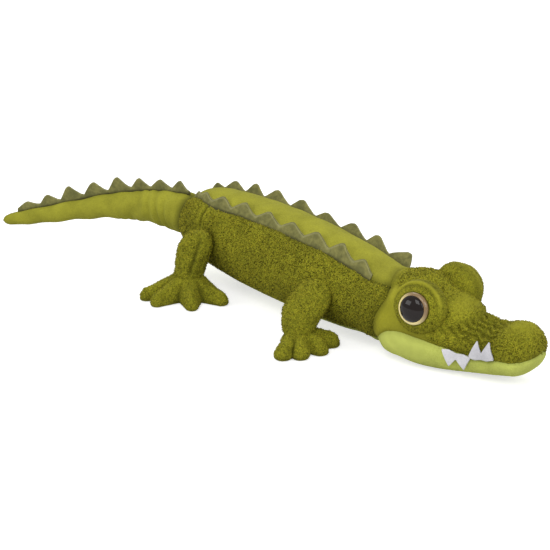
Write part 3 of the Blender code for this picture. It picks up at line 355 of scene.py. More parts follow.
def surface(name, grid, closed=False, flip=False, layers=None, caps=()):
    """An object from a grid of points. layers maps a name to a number for each point; caps names the end
    rings, 0 or -1, that close in a fan round their middle. A closed form's faces turn outward by the sign
    of the volume that they hold."""
    rows, columns = grid.shape[:2]
    points = grid.reshape(-1, 3)
    faces = grid_faces(rows, columns, closed).tolist()
    values = {key: np.broadcast_to(value, (rows, columns)).reshape(-1)
              for key, value in (layers or {}).items()}
    for end in caps:
        ring = np.arange(columns) + (0 if end == 0 else (rows - 1) * columns)
        middle = len(points)
        points = np.concatenate([points, points[ring].mean(0)[None]])
        values = {key: np.append(value, value[ring].mean()) for key, value in values.items()}
        near, far = (ring, np.roll(ring, -1)) if end == 0 else (np.roll(ring, -1), ring)
        faces += [(int(b), int(a), middle) for a, b in zip(near, far)]
    if closed:
        halves = [face[:3] for face in faces] + [(face[0], *face[2:]) for face in faces if len(face) == 4]
        corner = points[np.array(halves)] - points.mean(0)
        flip = np.sum(np.cross(corner[:, 0], corner[:, 1]) * corner[:, 2]) < 0
    if flip:
        faces = [face[::-1] for face in faces]
    mesh = bpy.data.meshes.new(name)
    mesh.from_pydata(points.tolist(), [], faces)
    mesh.validate()
    for key, value in values.items():
        layer = mesh.attributes.new(key, "FLOAT", "POINT")
        layer.data.foreach_set("value", value.astype(np.float32))
    mesh.shade_smooth()
    item = bpy.data.objects.new(name, mesh)
    bpy.context.scene.collection.objects.link(item)
    return item


def thicken(item, thickness):
    """Gives a cloth its thickness, inward from its face."""
    modifier = item.modifiers.new("cloth", "SOLIDIFY")
    modifier.thickness = thickness
    modifier.offset = -1.0
    modifier.use_rim = True
    return item


def dress(item, material, nodes=()):
    """Gives a piece its material, and hides the imported solids that it stands for."""
    item.data.materials.clear()
    item.data.materials.append(material)
    if nodes:
        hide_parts(*nodes)
    return item


# Materials

# Sockets of a Mix node that mixes colours
FACTOR, LOW, HIGH, MIXED = 0, 6, 7, 2

PATCHES_PER_METRE = 38.0    # the pile is brushed this way and that about every 26 mm


def add_node(tree, kind, inputs=None, output=0, **settings):
    """Adds a node with its settings and returns one of its outputs. inputs maps a socket to a value or to
    another node's output."""
    item = tree.nodes.new(kind)
    for key, value in settings.items():
        setattr(item, key, value)
    for key, value in (inputs or {}).items():
        if isinstance(value, bpy.types.NodeSocket):
            tree.links.new(value, item.inputs[key])
        else:
            item.inputs[key].default_value = value
    return item.outputs[output]


def new_material(name):
    """A new material, its node tree and its Principled shader."""
    material = bpy.data.materials.new(name)
    material.use_nodes = True
    return material, material.node_tree, material.node_tree.nodes["Principled BSDF"]


def darker(name, share):
    """A colour times a share."""
    return (*[value * share for value in colours(name)[:3]], 1.0)


def graded(tree, value, low, high, dark, light):
    """A colour that runs from dark to light as a value runs from low to high."""
    share = add_node(tree, "ShaderNodeMapRange", {"Value": value, "From Min": low, "From Max": high})
    return add_node(tree, "ShaderNodeMix", {FACTOR: share, LOW: dark, HIGH: light}, MIXED, data_type="RGBA")


def mottled(tree, value, low, high, base, least, most):
    """A colour times least to most as a value runs from low to high."""
    share = add_node(tree, "ShaderNodeMapRange", {"Value": value, "From Min": low, "From Max": high,
                                                  "To Min": least, "To Max": most})
    return add_node(tree, "ShaderNodeMix", {FACTOR: 1.0, LOW: base, HIGH: share}, MIXED, data_type="RGBA",
                    blend_type="MULTIPLY")


def turned_to(tree, base, layer, other):
    """A colour that turns to another as far as a layer of the mesh says."""
    share = add_node(tree, "ShaderNodeAttribute", output="Fac", attribute_name=layer)
    return add_node(tree, "ShaderNodeMix", {FACTOR: share, LOW: base, HIGH: other}, MIXED, data_type="RGBA")


def cloth_gloss(shader, sheen, tint):
    """Cloth hardly shines; its fibres catch a little light where the surface turns away."""
    shader.inputs["Roughness"].default_value = 0.92
    shader.inputs["Specular IOR Level"].default_value = 0.15
    shader.inputs["Sheen Weight"].default_value = sheen
    shader.inputs["Sheen Roughness"].default_value = 0.45
    shader.inputs["Sheen Tint"].default_value = colours(tint)


def pile_cloth(name, tones, tuft, relief_mm, contrast, sheen):
    """Knitted cloth whose fibres stand in tufts. tones names its colour in the middle, between the tufts, at
    their tips and where it is shorn. It turns to the last where the layer of shorn pile says so; that layer
    also carries a painted highlight on raised seam lips and on the eye mound's stitched ridge. It darkens in
    the seams and creases by its layer of painted seam shade."""
    tone, shade, tip, shorn = tones
    material, tree, shader = new_material(name)
    place = add_node(tree, "ShaderNodeTexCoord", output="Object")
    tufts = add_node(tree, "ShaderNodeTexNoise", {"Vector": place, "Scale": 1.0 / tuft, "Detail": 3.0,
                                                  "Roughness": 0.62})
    fibres = add_node(tree, "ShaderNodeTexNoise", {"Vector": place, "Scale": 2.3 / tuft, "Detail": 2.0,
                                                   "Roughness": 0.7})
    patches = add_node(tree, "ShaderNodeTexNoise", {"Vector": place, "Scale": PATCHES_PER_METRE,
                                                    "Detail": 3.0, "Roughness": 0.6})
    base = graded(tree, tufts, 0.5 - contrast, 0.5 + contrast * 0.2, colours(shade), colours(tone))
    base = graded(tree, fibres, 0.52, 0.52 + contrast, base, colours(tip))
    base = turned_to(tree, base, "smooth", colours(shorn))
    base = mottled(tree, patches, 0.34, 0.66, base, 0.84, 1.12)
    # Painted shade: the colour darkens in the seams and creases
    base = turned_to(tree, base, "crease", darker(shade, 0.42))
    tree.links.new(base, shader.inputs["Base Color"])
    coarse = add_node(tree, "ShaderNodeBump", {"Height": tufts, "Strength": 0.7,
                                               "Distance": relief_mm / 1000.0})
    fine = add_node(tree, "ShaderNodeBump", {"Height": fibres, "Strength": 0.5,
                                             "Distance": relief_mm / 2000.0, "Normal": coarse})
    tree.links.new(fine, shader.inputs["Normal"])
    cloth_gloss(shader, sheen, tip)
    return material


def tuft_fibre(name):
    """Tufts of polyester pile: each has its own tone, and is dark at its root, a painted shade, and light at
    its point, a painted highlight.
    """
    material, tree, shader = new_material(name)
    place = add_node(tree, "ShaderNodeTexCoord", output="Object")
    patches = add_node(tree, "ShaderNodeTexNoise", {"Vector": place, "Scale": PATCHES_PER_METRE,
                                                    "Detail": 3.0, "Roughness": 0.6})
    tone = add_node(tree, "ShaderNodeAttribute", output="Fac", attribute_name="tone")
    tip = add_node(tree, "ShaderNodeAttribute", output="Fac", attribute_name="tip")
    point = graded(tree, tone, 0.30, 0.80, colours("pile_shade"), colours("pile_tip"))
    base = graded(tree, tip, -0.45, 0.55, colours("pile_shade"), point)
    base = turned_to(tree, base, "smooth", colours("shorn_pile"))
    base = mottled(tree, patches, 0.34, 0.66, base, 0.80, 1.16)
    tree.links.new(base, shader.inputs["Base Color"])
    cloth_gloss(shader, 0.2, "pile_tip")
    return material


def suede_cloth(name, tone, shade, edge):
    """Brushed microfibre: a fine nap that mottles, paler along the free edge, a painted highlight, and darker
    at the seam, painted shade.
    """
    material, tree, shader = new_material(name)
    place = add_node(tree, "ShaderNodeTexCoord", output="Object")
    nap = add_node(tree, "ShaderNodeTexNoise", {"Vector": place, "Scale": 420.0, "Detail": 4.0,
                                                "Roughness": 0.6})
    strokes = add_node(tree, "ShaderNodeTexNoise", {"Vector": place, "Scale": 120.0, "Detail": 3.0,
                                                    "Distortion": 0.6})
    base = graded(tree, strokes, 0.36, 0.64, colours(shade), colours(tone))
    base = mottled(tree, nap, 0.36, 0.64, base, 0.86, 1.12)
    base = turned_to(tree, base, "edge", colours(edge))
    # Painted shade: the colour darkens at the seam and in the groove
    base = turned_to(tree, base, "crease", darker(shade, 0.35))
    tree.links.new(base, shader.inputs["Base Color"])
    bump = add_node(tree, "ShaderNodeBump", {"Height": nap, "Strength": 0.5, "Distance": 0.0003})
    tree.links.new(bump, shader.inputs["Normal"])
    cloth_gloss(shader, 0.15, edge)
    return material


def moulded_eye(name, dark):
    """Moulded acrylic, polished; the rim's colour is painted light and shade: cream on the side where the
    light comes through it, brown on the side away from the light.
    """
    material, tree, shader = new_material(name)
    if dark:
        shader.inputs["Base Color"].default_value = colours("pupil")
    else:
        paint = turned_to(tree, colours("iris_shade"), "lit", colours("iris"))
        tree.links.new(paint, shader.inputs["Base Color"])
    shader.inputs["Roughness"].default_value = 0.05 if dark else 0.24
    shader.inputs["Specular IOR Level"].default_value = 0.20 if dark else 0.5
    return material


MATERIALS = {}


def make_materials():
    """Each cloth of the toy, with the size of its real tufts in metres, their height in millimetres, their
    contrast and the sheen."""
    # Short-pile polyester plush: the backing between the tufts, which shows as dark specks
    MATERIALS["pile"] = pile_cloth("short_pile_plush", ("pile", "pile_shade", "pile_tip", "shorn_pile"),
                                   0.0015, 0.9, 0.14, 0.2)
    # The tufts themselves: light and dark specks about 1.5 mm across
    MATERIALS["tufts"] = tuft_fibre("plush_tufts")
    # Velour, shorn close: an even nap that only mottles
    MATERIALS["velour"] = pile_cloth("shorn_velour", ("velour", "velour_shade", "velour", "velour"),
                                     0.0011, 0.35, 0.30, 0.2)
    # The same in a pale dye: the light green of the jaw and the belly
    MATERIALS["pale"] = pile_cloth("pale_shorn_velour", ("pale", "pale_shade", "pale", "pale"),
                                   0.0011, 0.40, 0.24, 0.2)
    # Brushed microfibre suede of the spines, with a painted highlight along its free edge
    MATERIALS["suede"] = suede_cloth("brushed_suede", "suede", "suede_shade", "suede_edge")
    # Pressed wool felt: matted fibres with no nap
    MATERIALS["felt"] = pile_cloth("pressed_felt", ("felt", "felt_shade", "felt", "felt"),
                                   0.0008, 0.20, 0.30, 0.1)
    # Polished acrylic: the painted rim is soft, the dark dome mirrors the lamps
    MATERIALS["iris"] = moulded_eye("moulded_eye_rim", False)
    MATERIALS["pupil"] = moulded_eye("moulded_eye_dome", True)


# Tufts

# A spike's faces: three sides and its foot
SPIKE_FACES = ((1, 0, 3), (2, 1, 3), (0, 2, 3), (0, 1, 2))


def pile_tufts(name, grid, normals, spacing, length, keep, seed, nap):
    """Tufts of pile: one small three-sided spike to each spot, spread at random over a grid of skin. Each
    leans with the nap and a little at random, and keep, a share for each point, thins and shortens them.
    The layer tone is random from tuft to tuft, and tip runs from 0 at the root to 1 at the point."""
    rng = np.random.default_rng(seed)
    corner = grid[:-1, :-1]
    area = np.linalg.norm(np.cross(grid[1:, :-1] - corner, grid[:-1, 1:] - corner), axis=-1)
    chance = area * np.clip(keep[:-1, :-1], 0.02, 1.0)
    count = int(chance.sum() / spacing ** 2)
    cell = rng.choice(chance.size, count, p=(chance / chance.sum()).ravel())
    row, column = np.unravel_index(cell, chance.shape)
    u, v = rng.random((2, count, 1))

    def between(values):
        """Values at each tuft's place, blended from its cell's four corners."""
        return (values[row, column] * (1 - u) * (1 - v) + values[row + 1, column] * u * (1 - v)
                + values[row, column + 1] * (1 - u) * v + values[row + 1, column + 1] * u * v)

    root = between(grid)
    out = unit(between(normals))
    size = (0.65 + 0.6 * rng.random((count, 1))) * (0.35 + 0.65 * between(keep[..., None]))
    lay = unit(np.asarray(nap)[None] * 0.5 + rng.normal(size=(count, 3)) * 0.7)
    lay = unit(lay - out * np.sum(lay * out, -1, keepdims=True))
    side = np.cross(out, lay)
    half = length * 0.30 * size
    tip = root + (out * 0.62 + lay * 0.78) * length * size
    foot = root - out * length * 0.25
    ring = [foot - lay * half, foot + lay * half * 0.5 + side * half, foot + lay * half * 0.5 - side * half]
    points = np.stack([*ring, tip], 1).reshape(-1, 3)
    points[:, 2] = np.maximum(points[:, 2], 0.0)
    first = np.arange(count)[:, None] * 4
    faces = np.concatenate([first + np.array(face) for face in SPIKE_FACES])
    mesh = bpy.data.meshes.new(name)
    mesh.from_pydata(points.tolist(), [], faces.tolist())
    layers = {"tone": np.repeat(rng.random(count), 4), "tip": np.tile((0.0, 0.0, 0.0, 1.0), count),
              "smooth": np.repeat(1 - between(keep[..., None])[:, 0], 4)}
    for key, value in layers.items():
        mesh.attributes.new(key, "FLOAT", "POINT").data.foreach_set("value", value.astype(np.float32))
    mesh.shade_smooth()
    item = bpy.data.objects.new(name, mesh)
    bpy.context.scene.collection.objects.link(item)
    item.data.materials.append(MATERIALS["tufts"])
    return item


def stuffed_pile(form, suffix, points, normals, crease, smooth, keep, length, seed, nap, nodes, body):
    """A closed form of pile, with its tufts, on one body. length is a share of the pile's."""
    item = surface(form + "_pile_" + suffix, points, closed=True, layers={"crease": crease, "smooth": smooth},
                   caps=(0, -1))
    dress(item, MATERIALS["pile"], nodes)
    tufts = pile_tufts(form + "_tufts_" + suffix, points, normals, 0.0010, sizes().pile_length * length, keep,
                       seed, nap)
    for piece in (item, tufts):
        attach(piece, body)


# Body

def neck_step(angle):
    """How far the neck seam lies forward of the neck joint, at an angle from the top."""
    return curve_through(NECK_STEP_ANGLES, NECK_STEPS, np.abs(wrap(angle)))


def narrow_step(angle):
    """How far forward of the joint the neck is narrowest. The top keeps its own line."""
    away = np.degrees(np.abs(wrap(angle)))
    return neck_step(angle) * smooth_step(42, 80, away)


def body_section(place, angle):
    """Forward distance, centre height and half axes of the body's section at a place, 0 and 1 at the two
    joints. The girth's stations are drawn out to the two seams, which lie beyond the joints."""
    girth = np.array(BODY_GIRTH)
    widths = np.concatenate([[TAIL_RADIUS], girth * BODY_WIDTH / 2, [NECK_RADIUS]])
    heights = np.concatenate([[TAIL_RADIUS], girth * BODY_HEIGHT / 2, [NECK_RADIUS]])
    run = (place * BODY_LENGTH + RUMP_STEP) / (BODY_LENGTH + RUMP_STEP + narrow_step(angle))
    along = np.clip(run, 0.0, 1.0)
    fall = np.clip(place, 0.0, 1.0)
    centre = TAIL[2] + (NECK[2] - TAIL[2]) * fall + HIP_RISE * curve_through(BODY_STATIONS, BODY_AXIS, fall)
    return (TAIL[0] + BODY_LENGTH * place, centre, curve_through(BODY_STATIONS, widths, along),
            curve_through(BODY_STATIONS, heights, along))


def back_angle(place):
    """The angle from the middle of the back to its seams."""
    return curve_through(BACK_STATIONS, BACK_ANGLES, np.clip(place, 0.0, 1.0))


def back_roll(place):
    """The back is sewn straight at the rump, and rolls to the left from there on."""
    return BACK_ROLL * np.sin(np.pi / 2 * np.clip(place, 0.0, 1.0))


def right_seam(place):
    """The back's right seam; the left one is its mirror image but for the roll."""
    return back_angle(place) - back_roll(place)


def left_seam(place):
    return -back_angle(place) - back_roll(place)


def belly_seam(place):
    """The belly's right seam; the left one is its mirror image."""
    return np.pi - BELLY_ANGLE + 0 * place


def body_point(place, angle, inset=0.0):
    """A point of the body's skin: (x, -a sin t, c + b cos t), with t 0 at the top and growing rightward.
    Behind the tail joint the section follows the tail's line, and ahead of the neck joint the head's turn."""
    place, angle, inset = np.broadcast_arrays(place, angle, inset)
    forward, centre, half_width, half_height = body_section(place, angle)
    behind = np.clip(-place * BODY_LENGTH / TAIL_LENGTH, 0.0, 1.0)
    tilt = smooth_step(-0.014, RUMP_STEP, -place * BODY_LENGTH)[..., None]
    right, up = tail_frame(behind)
    right = unit(np.array([0.0, -1.0, 0.0]) * (1 - tilt) + right * tilt)
    up = unit(np.array([0.0, 0.0, 1.0]) * (1 - tilt) + up * tilt)
    line = np.stack([forward, 0 * forward, centre], -1)
    drawn = tail_line(behind) - TAIL
    line = line + np.stack([0 * behind, drawn[..., 1], drawn[..., 2]], -1)
    points = line + right * ((half_width - inset) * np.sin(angle))[..., None]
    points = points + up * ((half_height - inset) * np.cos(angle))[..., None]
    return head_to_world(points - NECK)


def body_pull(place, angle):
    """How far sewing pulls the skin in: at the seams of the back and belly, at both ends, and at the dart
    over the hips. Also how dark the painted shade is in those seams and the dart, where the raised lips
    beside the dart get a painted highlight in the shorn colour, and where the pile is missing."""
    _, _, half_width, half_height = body_section(place, angle)
    radius = (half_width + half_height) / 2
    depth = sizes().seam_depth
    away = np.abs(angle)
    back = dip((np.abs(angle + back_roll(place)) - back_angle(place)) * radius, SEAM_WIDTH)
    belly = dip((away - (np.pi - BELLY_ANGLE)) * radius, SEAM_WIDTH)
    rear = dip(place * BODY_LENGTH + RUMP_STEP, END_SEAM_WIDTH)
    front = dip((place - 1) * BODY_LENGTH - neck_step(angle), END_SEAM_WIDTH)
    degrees = np.degrees(away)
    closed, full, fading, ended = DART_SPAN
    shown = smooth_step(closed, full, degrees) * (1 - smooth_step(fading, ended, degrees))
    off = place * BODY_LENGTH - DART_PLACE - 0.0025 * np.cos(away * 3)
    dart = dip(off, 0.0014) * shown
    lips = (dip(off - 0.0032, 0.0016) + dip(off + 0.0032, 0.0016)) * shown
    rows = np.cos(2 * np.pi * (place * BODY_LENGTH + 0.004 * np.sin(3 * angle)) / WRINKLE_PITCH)
    wrinkles = rows * smooth_step(60, 80, degrees) * (1 - smooth_step(120, 150, degrees))
    wrinkles = wrinkles * (smooth_step(0.86, 0.96, place) + 1 - smooth_step(0.02, 0.10, place))
    pull = depth * (1.15 * back + belly) + 0.0016 * rear + 0.0014 * front + 0.0019 * dart - 0.0008 * lips
    pull = pull + 0.0003 * wrinkles
    # Painted shade: the seams, both ends and the dart are darkened in colour
    crease = 0.55 * back + 0.5 * belly + 0.85 * rear + 0.50 * front + 0.85 * dart
    bare = 0.9 * dip(off, 0.0013) * shown + 0.9 * dip(place * BODY_LENGTH + RUMP_STEP, 0.0026)
    # Painted highlight: the lips beside the dart take the shorn colour
    return pull, np.clip(crease, 0, 0.85), np.clip(0.35 * lips, 0, 1), np.clip(bare, 0, 1)


def panel_grid(low, high, rows, columns):
    """Places and angles of a panel between two seams, each an angle at every place. Every column runs from
    the tail seam to the neck seam."""
    across = np.linspace(0.0, 1.0, columns)[None, :]
    place = np.linspace(0.0, 1.0, rows)[:, None] + 0 * across
    end = low(np.array(1.0)) + (high(np.array(1.0)) - low(np.array(1.0))) * across
    place = -RUMP_STEP / BODY_LENGTH + place * (1 + (RUMP_STEP + neck_step(end)) / BODY_LENGTH)
    return place, low(place) + (high(place) - low(place)) * across


def body_panel(name, low, high, rows, columns, amount):
    """The skin between two seams of the body, with its pile where it has any."""
    place, angle = panel_grid(low, high, rows, columns)
    pull, crease, smooth, bare = body_pull(place, wrap(angle))
    points = body_point(place, angle, pull)
    normals = -grid_normals(points)
    points = relief(points, normals, amount)
    made = [surface(name, points, layers={"crease": crease, "smooth": smooth})]
    if amount == 1.0:
        keep = np.clip(1 - 0.4 * crease - 0.5 * smooth - bare, 0, 1)
        made.append(pile_tufts(name + "_tufts", points, normals, 0.0009, sizes().pile_length, keep, 31,
                               (-0.8, 0.0, -0.6)))
    return made


class CROCODILE_OT_body(bpy.types.Operator):
    """Makes the body's four sewn panels"""

    bl_idname = "crocodile.body"
    bl_label = "Body panels"

    def execute(self, context):
        self.panel("back_velour", left_seam, right_seam, "velour", "velour", ("back_panel",))
        self.panel("belly_velour", belly_seam, lambda place: 2 * np.pi - belly_seam(place), "pale",
                   "pale_velour", ("belly_panel",))
        self.panel("side_pile_right", right_seam, belly_seam, "pile", "pile",
                   ("body_side_right", "body_filling"))
        self.panel("side_pile_left", lambda place: -belly_seam(place), left_seam, "pile", "pile",
                   ("body_side_left",))
        return {"FINISHED"}

    def panel(self, name, low, high, material, slot, nodes):
        """A panel between two seams; pile is drawn finer, and has tufts."""
        columns, amount = (84, 1.0) if material == "pile" else (46, 0.3)
        item, *tufts = body_panel(name, low, high, 230, columns, amount)
        thicken(item, sizes().cloth)
        dress(item, MATERIALS[material], nodes)
        for piece in (item, *tufts):
            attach(piece, "body")


# Head

def head_section(forward):
    """Centre height above the neck joint and half axes of the head's section at a distance forward of it.
    The nose rounds off as a quarter ellipse."""
    share = np.clip(forward / HEAD_LENGTH, 0.0, 1.0)
    joint = NECK[2]
    widths = np.concatenate([[NECK_RADIUS], np.array(HEAD_WIDTHS) * HEAD_WIDTH / 2])
    tops = np.concatenate([[NECK_RADIUS], np.array(HEAD_TOPS) * HEAD_HEIGHT - joint])
    bottoms = np.concatenate([[-NECK_RADIUS], np.array(HEAD_BOTTOMS) * HEAD_HEIGHT - joint])
    half_width = curve_through(HEAD_STATIONS, widths, share)
    top = curve_through(HEAD_STATIONS, tops, share)
    bottom = curve_through(HEAD_STATIONS, bottoms, share)
    into_nose = np.clip((forward - (HEAD_LENGTH - NOSE_DOME)) / NOSE_DOME, 0.0, 1.0)
    round_off = np.sqrt(1.0 - into_nose ** 2)
    return (top + bottom) / 2, half_width, (top - bottom) / 2, round_off


def fullness(forward):
    """The power that squares the head's lower half; it grows from the round neck, and is squarest below
    the cheek."""
    power = JAW_FULLNESS - 0.13 * dip(forward / HEAD_LENGTH - 0.36, 0.22)
    return 1 + (power - 1) * smooth_step(0.0, 0.020, forward)


def from_neck(forward, angle):
    """Distance at which the section is read: the neck is narrowest at its seam, and the head's own
    stations hold from 45 mm ahead of that."""
    step = narrow_step(angle)
    return np.maximum(forward - step * (1 - smooth_step(0.0, 0.045, forward - step)), 0.0)


def head_local(forward, angle, pull=0.0):
    """A point of the head's skin before it is turned: an ellipse above, a fuller one below."""
    forward, angle = np.broadcast_arrays(forward, angle)
    height, half_width, half_height, round_off = head_section(from_neck(forward, angle))
    power = np.where(np.cos(angle) < 0, fullness(from_neck(forward, angle)), 1.0)
    across = np.sign(np.sin(angle)) * np.abs(np.sin(angle)) ** power
    upward = np.sign(np.cos(angle)) * np.abs(np.cos(angle)) ** power
    wide = np.maximum(half_width * round_off - pull, 0.0)
    high = np.maximum(half_height * round_off - pull, 0.0)
    return np.stack([forward, -wide * across, height + high * upward], -1)


def head_to_world(points):
    """Turns points about the neck joint's upright and moves them there. The turn grows from the seam to
    its full angle 30 mm ahead, so that the head's skin starts on the body's end. The throat sags round the
    seam, and stays clear of the floor."""
    turn = HEAD_TURN * smooth_step(-0.004, 0.030, points[..., 0])
    cos, sin = np.cos(turn), np.sin(turn)
    x, y, z = points[..., 0], points[..., 1], points[..., 2]
    sag = THROAT_SAG * dip(x - 0.008, 0.013) * smooth_step(0.008, 0.024, -z)
    z = z - np.minimum(sag, np.maximum(z + NECK[2] - 0.001, 0.0))
    return np.stack([NECK[0] + cos * x - sin * y, NECK[1] + sin * x + cos * y, NECK[2] + z], -1)


def jaw_level(forward):
    """Height of the jaw seam above the neck joint; it drops away in a round corner at the neck."""
    return curve_through(JAW_STATIONS, JAW_LEVELS, np.clip(forward / HEAD_LENGTH, 0.0, 1.0)) - NECK[2]


def jaw_angle(forward):
    """The angle at which the jaw seam lies. Over the nose's dome it keeps the angle it has there."""
    held = np.minimum(forward, HEAD_LENGTH - NOSE_DOME)
    return angle_at(held, jaw_level(held))


def angle_at(forward, level):
    """The angle at which the head's skin lies at a height above the neck joint, low on its side."""
    read = from_neck(forward, np.radians(100.0))
    height, _, half_height, _ = head_section(read)
    upward = np.clip((level - height) / half_height, -1.0, 1.0)
    power = np.where(upward < 0, fullness(read), 1.0)
    return np.arccos(np.sign(upward) * np.abs(upward) ** (1.0 / power))


def head_stations(rows):
    """Distances of the head's rings, closer together where the nose rounds off."""
    straight = np.linspace(0.0, HEAD_LENGTH - NOSE_DOME, rows)
    turn = np.linspace(0.0, np.pi / 2, rows // 5 + 1)[1:]
    return np.concatenate([straight, straight[-1] + NOSE_DOME * np.sin(turn)])


def head_pull(forward, angle):
    """Pull of the jaw seam and the neck seam. The brow bulges and ends in a step; ahead of it wrinkles run
    aslant along the bridge of the snout, with a nick across it at each end. Smooth is where the pile is
    shorn: the collar, the cheek, the brow and the top of the nose."""
    _, half_width, half_height, round_off = head_section(forward)
    radius = (half_width + half_height) / 2 * round_off
    wrapped = wrap(angle)
    away = np.abs(wrapped)
    jaw = dip((away - jaw_angle(forward)) * radius, 0.0020)
    throat = smooth_step(np.radians(105), np.radians(130), away)
    neck = dip(forward - neck_step(angle), 0.0038) * (1 - 0.75 * throat)
    share = forward / HEAD_LENGTH
    over = 1 - smooth_step(np.radians(50), np.radians(90), away)
    past = share - 0.605 + 0.19 * (1 - np.cos(away))
    bridge = smooth_step(0.0, 0.016, past) * (1 - smooth_step(0.76, 0.80, share)) * over
    slant = 0.022 * wrapped - 0.24 * forward + 0.0013 * np.sin(forward * 330 + 4 * wrapped)
    slant = slant + 0.0007 * np.sin(forward * 760 - 5 * wrapped)
    folds = (0.5 + 0.5 * np.cos(2 * np.pi * slant / BRIDGE_FOLD_PITCH)) ** 2
    top = 1 - smooth_step(np.radians(40), np.radians(80), away)
    nicks = (dip(past - 0.004, 0.014) + dip(share - 0.697, 0.014) + 0.8 * dip(share - 0.782, 0.015)) * top
    bulge = smooth_step(-0.20, -0.08, past) * (1 - smooth_step(-0.010, 0.010, past)) * top
    pull = sizes().seam_depth * 0.8 * jaw + 0.0014 * neck + bridge * (0.0004 + 0.0023 * folds)
    pull = pull + 0.0010 * nicks - 0.0016 * bulge
    # Painted shade: the jaw and neck seams, the folds of the bridge and the nicks are darkened in colour
    crease = np.clip(0.30 * jaw + 0.5 * neck + 0.32 * bridge * folds + 0.25 * nicks, 0, 0.85)
    limit = 0.12 + 0.29 * smooth_step(np.radians(25), np.radians(80), away)
    collar = 1 - smooth_step(-0.05, 0.05, share - limit)
    brow = 0.55 * dip((share - 0.510) / 0.060, 1.0) * (1 - smooth_step(np.radians(15), np.radians(50), away))
    nose = 0.65 * dip((share - 0.875) / 0.07, 1.0) * (1 - smooth_step(np.radians(15), np.radians(55), away))
    return pull, crease, np.clip(collar + brow + nose, 0, 1)


def head_grid(low, high, rows, columns):
    """Distances and angles of the head's skin between two angles given at every distance. Every column
    runs from the neck seam to the nose."""
    across = np.linspace(0.0, 1.0, columns)[None, :]
    forward = head_stations(rows)[:, None] + 0 * across
    start = np.full((1, columns), 0.012)
    for _ in range(4):
        start = neck_step(low(start) + (high(start) - low(start)) * across)
    forward = start * (1 - forward / HEAD_LENGTH) + forward
    return forward, low(forward) + (high(forward) - low(forward)) * across


def head_skin(name, low, high, rows, columns, amount):
    """The head's skin between two seams, with its pile where it has any. Its start is drawn in to the end of
    the body's skin, so that the neck seam is closed all round."""
    forward, angle = head_grid(low, high, rows, columns)
    pull, crease, smooth = head_pull(forward, angle)
    points = head_to_world(head_local(forward, angle, pull))
    place = 1 + forward[:1] / BODY_LENGTH
    wrapped = wrap(angle[:1])
    seam = body_point(place, wrapped, body_pull(place, wrapped)[0])
    drawn = 1 - smooth_step(0.0, NECK_DRAW, forward - forward[:1])
    points = points + (seam - points[:1]) * drawn[..., None]
    normals = -grid_normals(points)
    points = relief(points, normals, amount * (1 - 0.6 * smooth))
    points[..., 2] = np.maximum(points[..., 2], 0.0)
    made = [surface(name, points, layers={"crease": crease, "smooth": smooth})]
    if amount == 1.0:
        keep = (1 - 0.85 * smooth) * np.clip(1 - 1.1 * crease, 0, 1)
        made.append(pile_tufts(name + "_tufts", points, normals, 0.0010, sizes().pile_length, keep, 37,
                               (-0.7, 0.0, -0.6)))
    return made


def follow_neck(item):
    """Bakes the skin's placement into its mesh points."""
    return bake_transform(item)


class CROCODILE_OT_head(bpy.types.Operator):
    """Makes the head's cover and its jaw panel"""

    bl_idname = "crocodile.head"
    bl_label = "Head"

    def execute(self, context):
        cover, tufts = head_skin("head_pile", lambda f: -jaw_angle(f), jaw_angle, 170, 170, 1.0)
        jaw, = head_skin("jaw_velour", jaw_angle, lambda f: 2 * np.pi - jaw_angle(f), 130, 80, 0.3)
        dress(cover, MATERIALS["pile"], ("head_cover", "head_filling"))
        dress(jaw, MATERIALS["pale"], ("jaw_panel",))
        for item in (cover, jaw):
            thicken(item, sizes().cloth)
        for item in (cover, jaw, tufts):
            follow_neck(item)
        return {"FINISHED"}


# Eyes

def eye_axes(side):
    """Centre of an eye's mound, and unit vectors towards the eye's right, up and out, in world terms."""
    out = np.array([np.sin(EYE_YAW) * np.cos(EYE_PITCH), -side * np.cos(EYE_YAW) * np.cos(EYE_PITCH),
                    np.sin(EYE_PITCH)])
    across = unit(np.cross(np.array([0.0, 0.0, 1.0]), out))
    up = np.cross(out, across)
    shy = FAR_EYE_SHY if side < 0 else 0.0
    centre = np.array([EYE_PLACE[0] - shy, -side * (EYE_PLACE[1] - shy), EYE_PLACE[2] - NECK[2]])
    origin = head_to_world(centre)
    cos, sin = np.cos(HEAD_TURN), np.sin(HEAD_TURN)
    turn = np.array([[cos, -sin, 0.0], [sin, cos, 0.0], [0.0, 0.0, 1.0]])
    return origin, [turn @ vector for vector in (across, up, out)]


def eye_point(side, local):
    """Local points (across, up, out) about an eye's mound as world points."""
    origin, (across, up, out) = eye_axes(side)
    return origin + local[..., 0:1] * across + local[..., 1:2] * up + local[..., 2:3] * out


def turned_grid(side, profile, steps):
    """Rings turned about the eye's outward line from a profile of (radius, height)."""
    turn = np.linspace(0.0, 2 * np.pi, steps, endpoint=False)[None, :]
    radius = profile[:, 0:1]
    local = np.stack([radius * np.cos(turn), radius * np.sin(turn), profile[:, 1:2] + 0 * turn], -1)
    return eye_point(side, local), turn


def smooth_profile(points, count):
    """A profile of corner points, redrawn with evenly spaced points and rounded corners."""
    points = np.array(points, dtype=float)
    length = np.concatenate([[0], np.cumsum(np.linalg.norm(np.diff(points, axis=0), axis=1))])
    at = np.linspace(0, length[-1], count)
    fine = np.stack([np.interp(at, length, points[:, axis]) for axis in (0, 1)], -1)
    for _ in range(3):
        fine[1:-1] = (fine[:-2] + 2 * fine[1:-1] + fine[2:]) / 4
    return fine


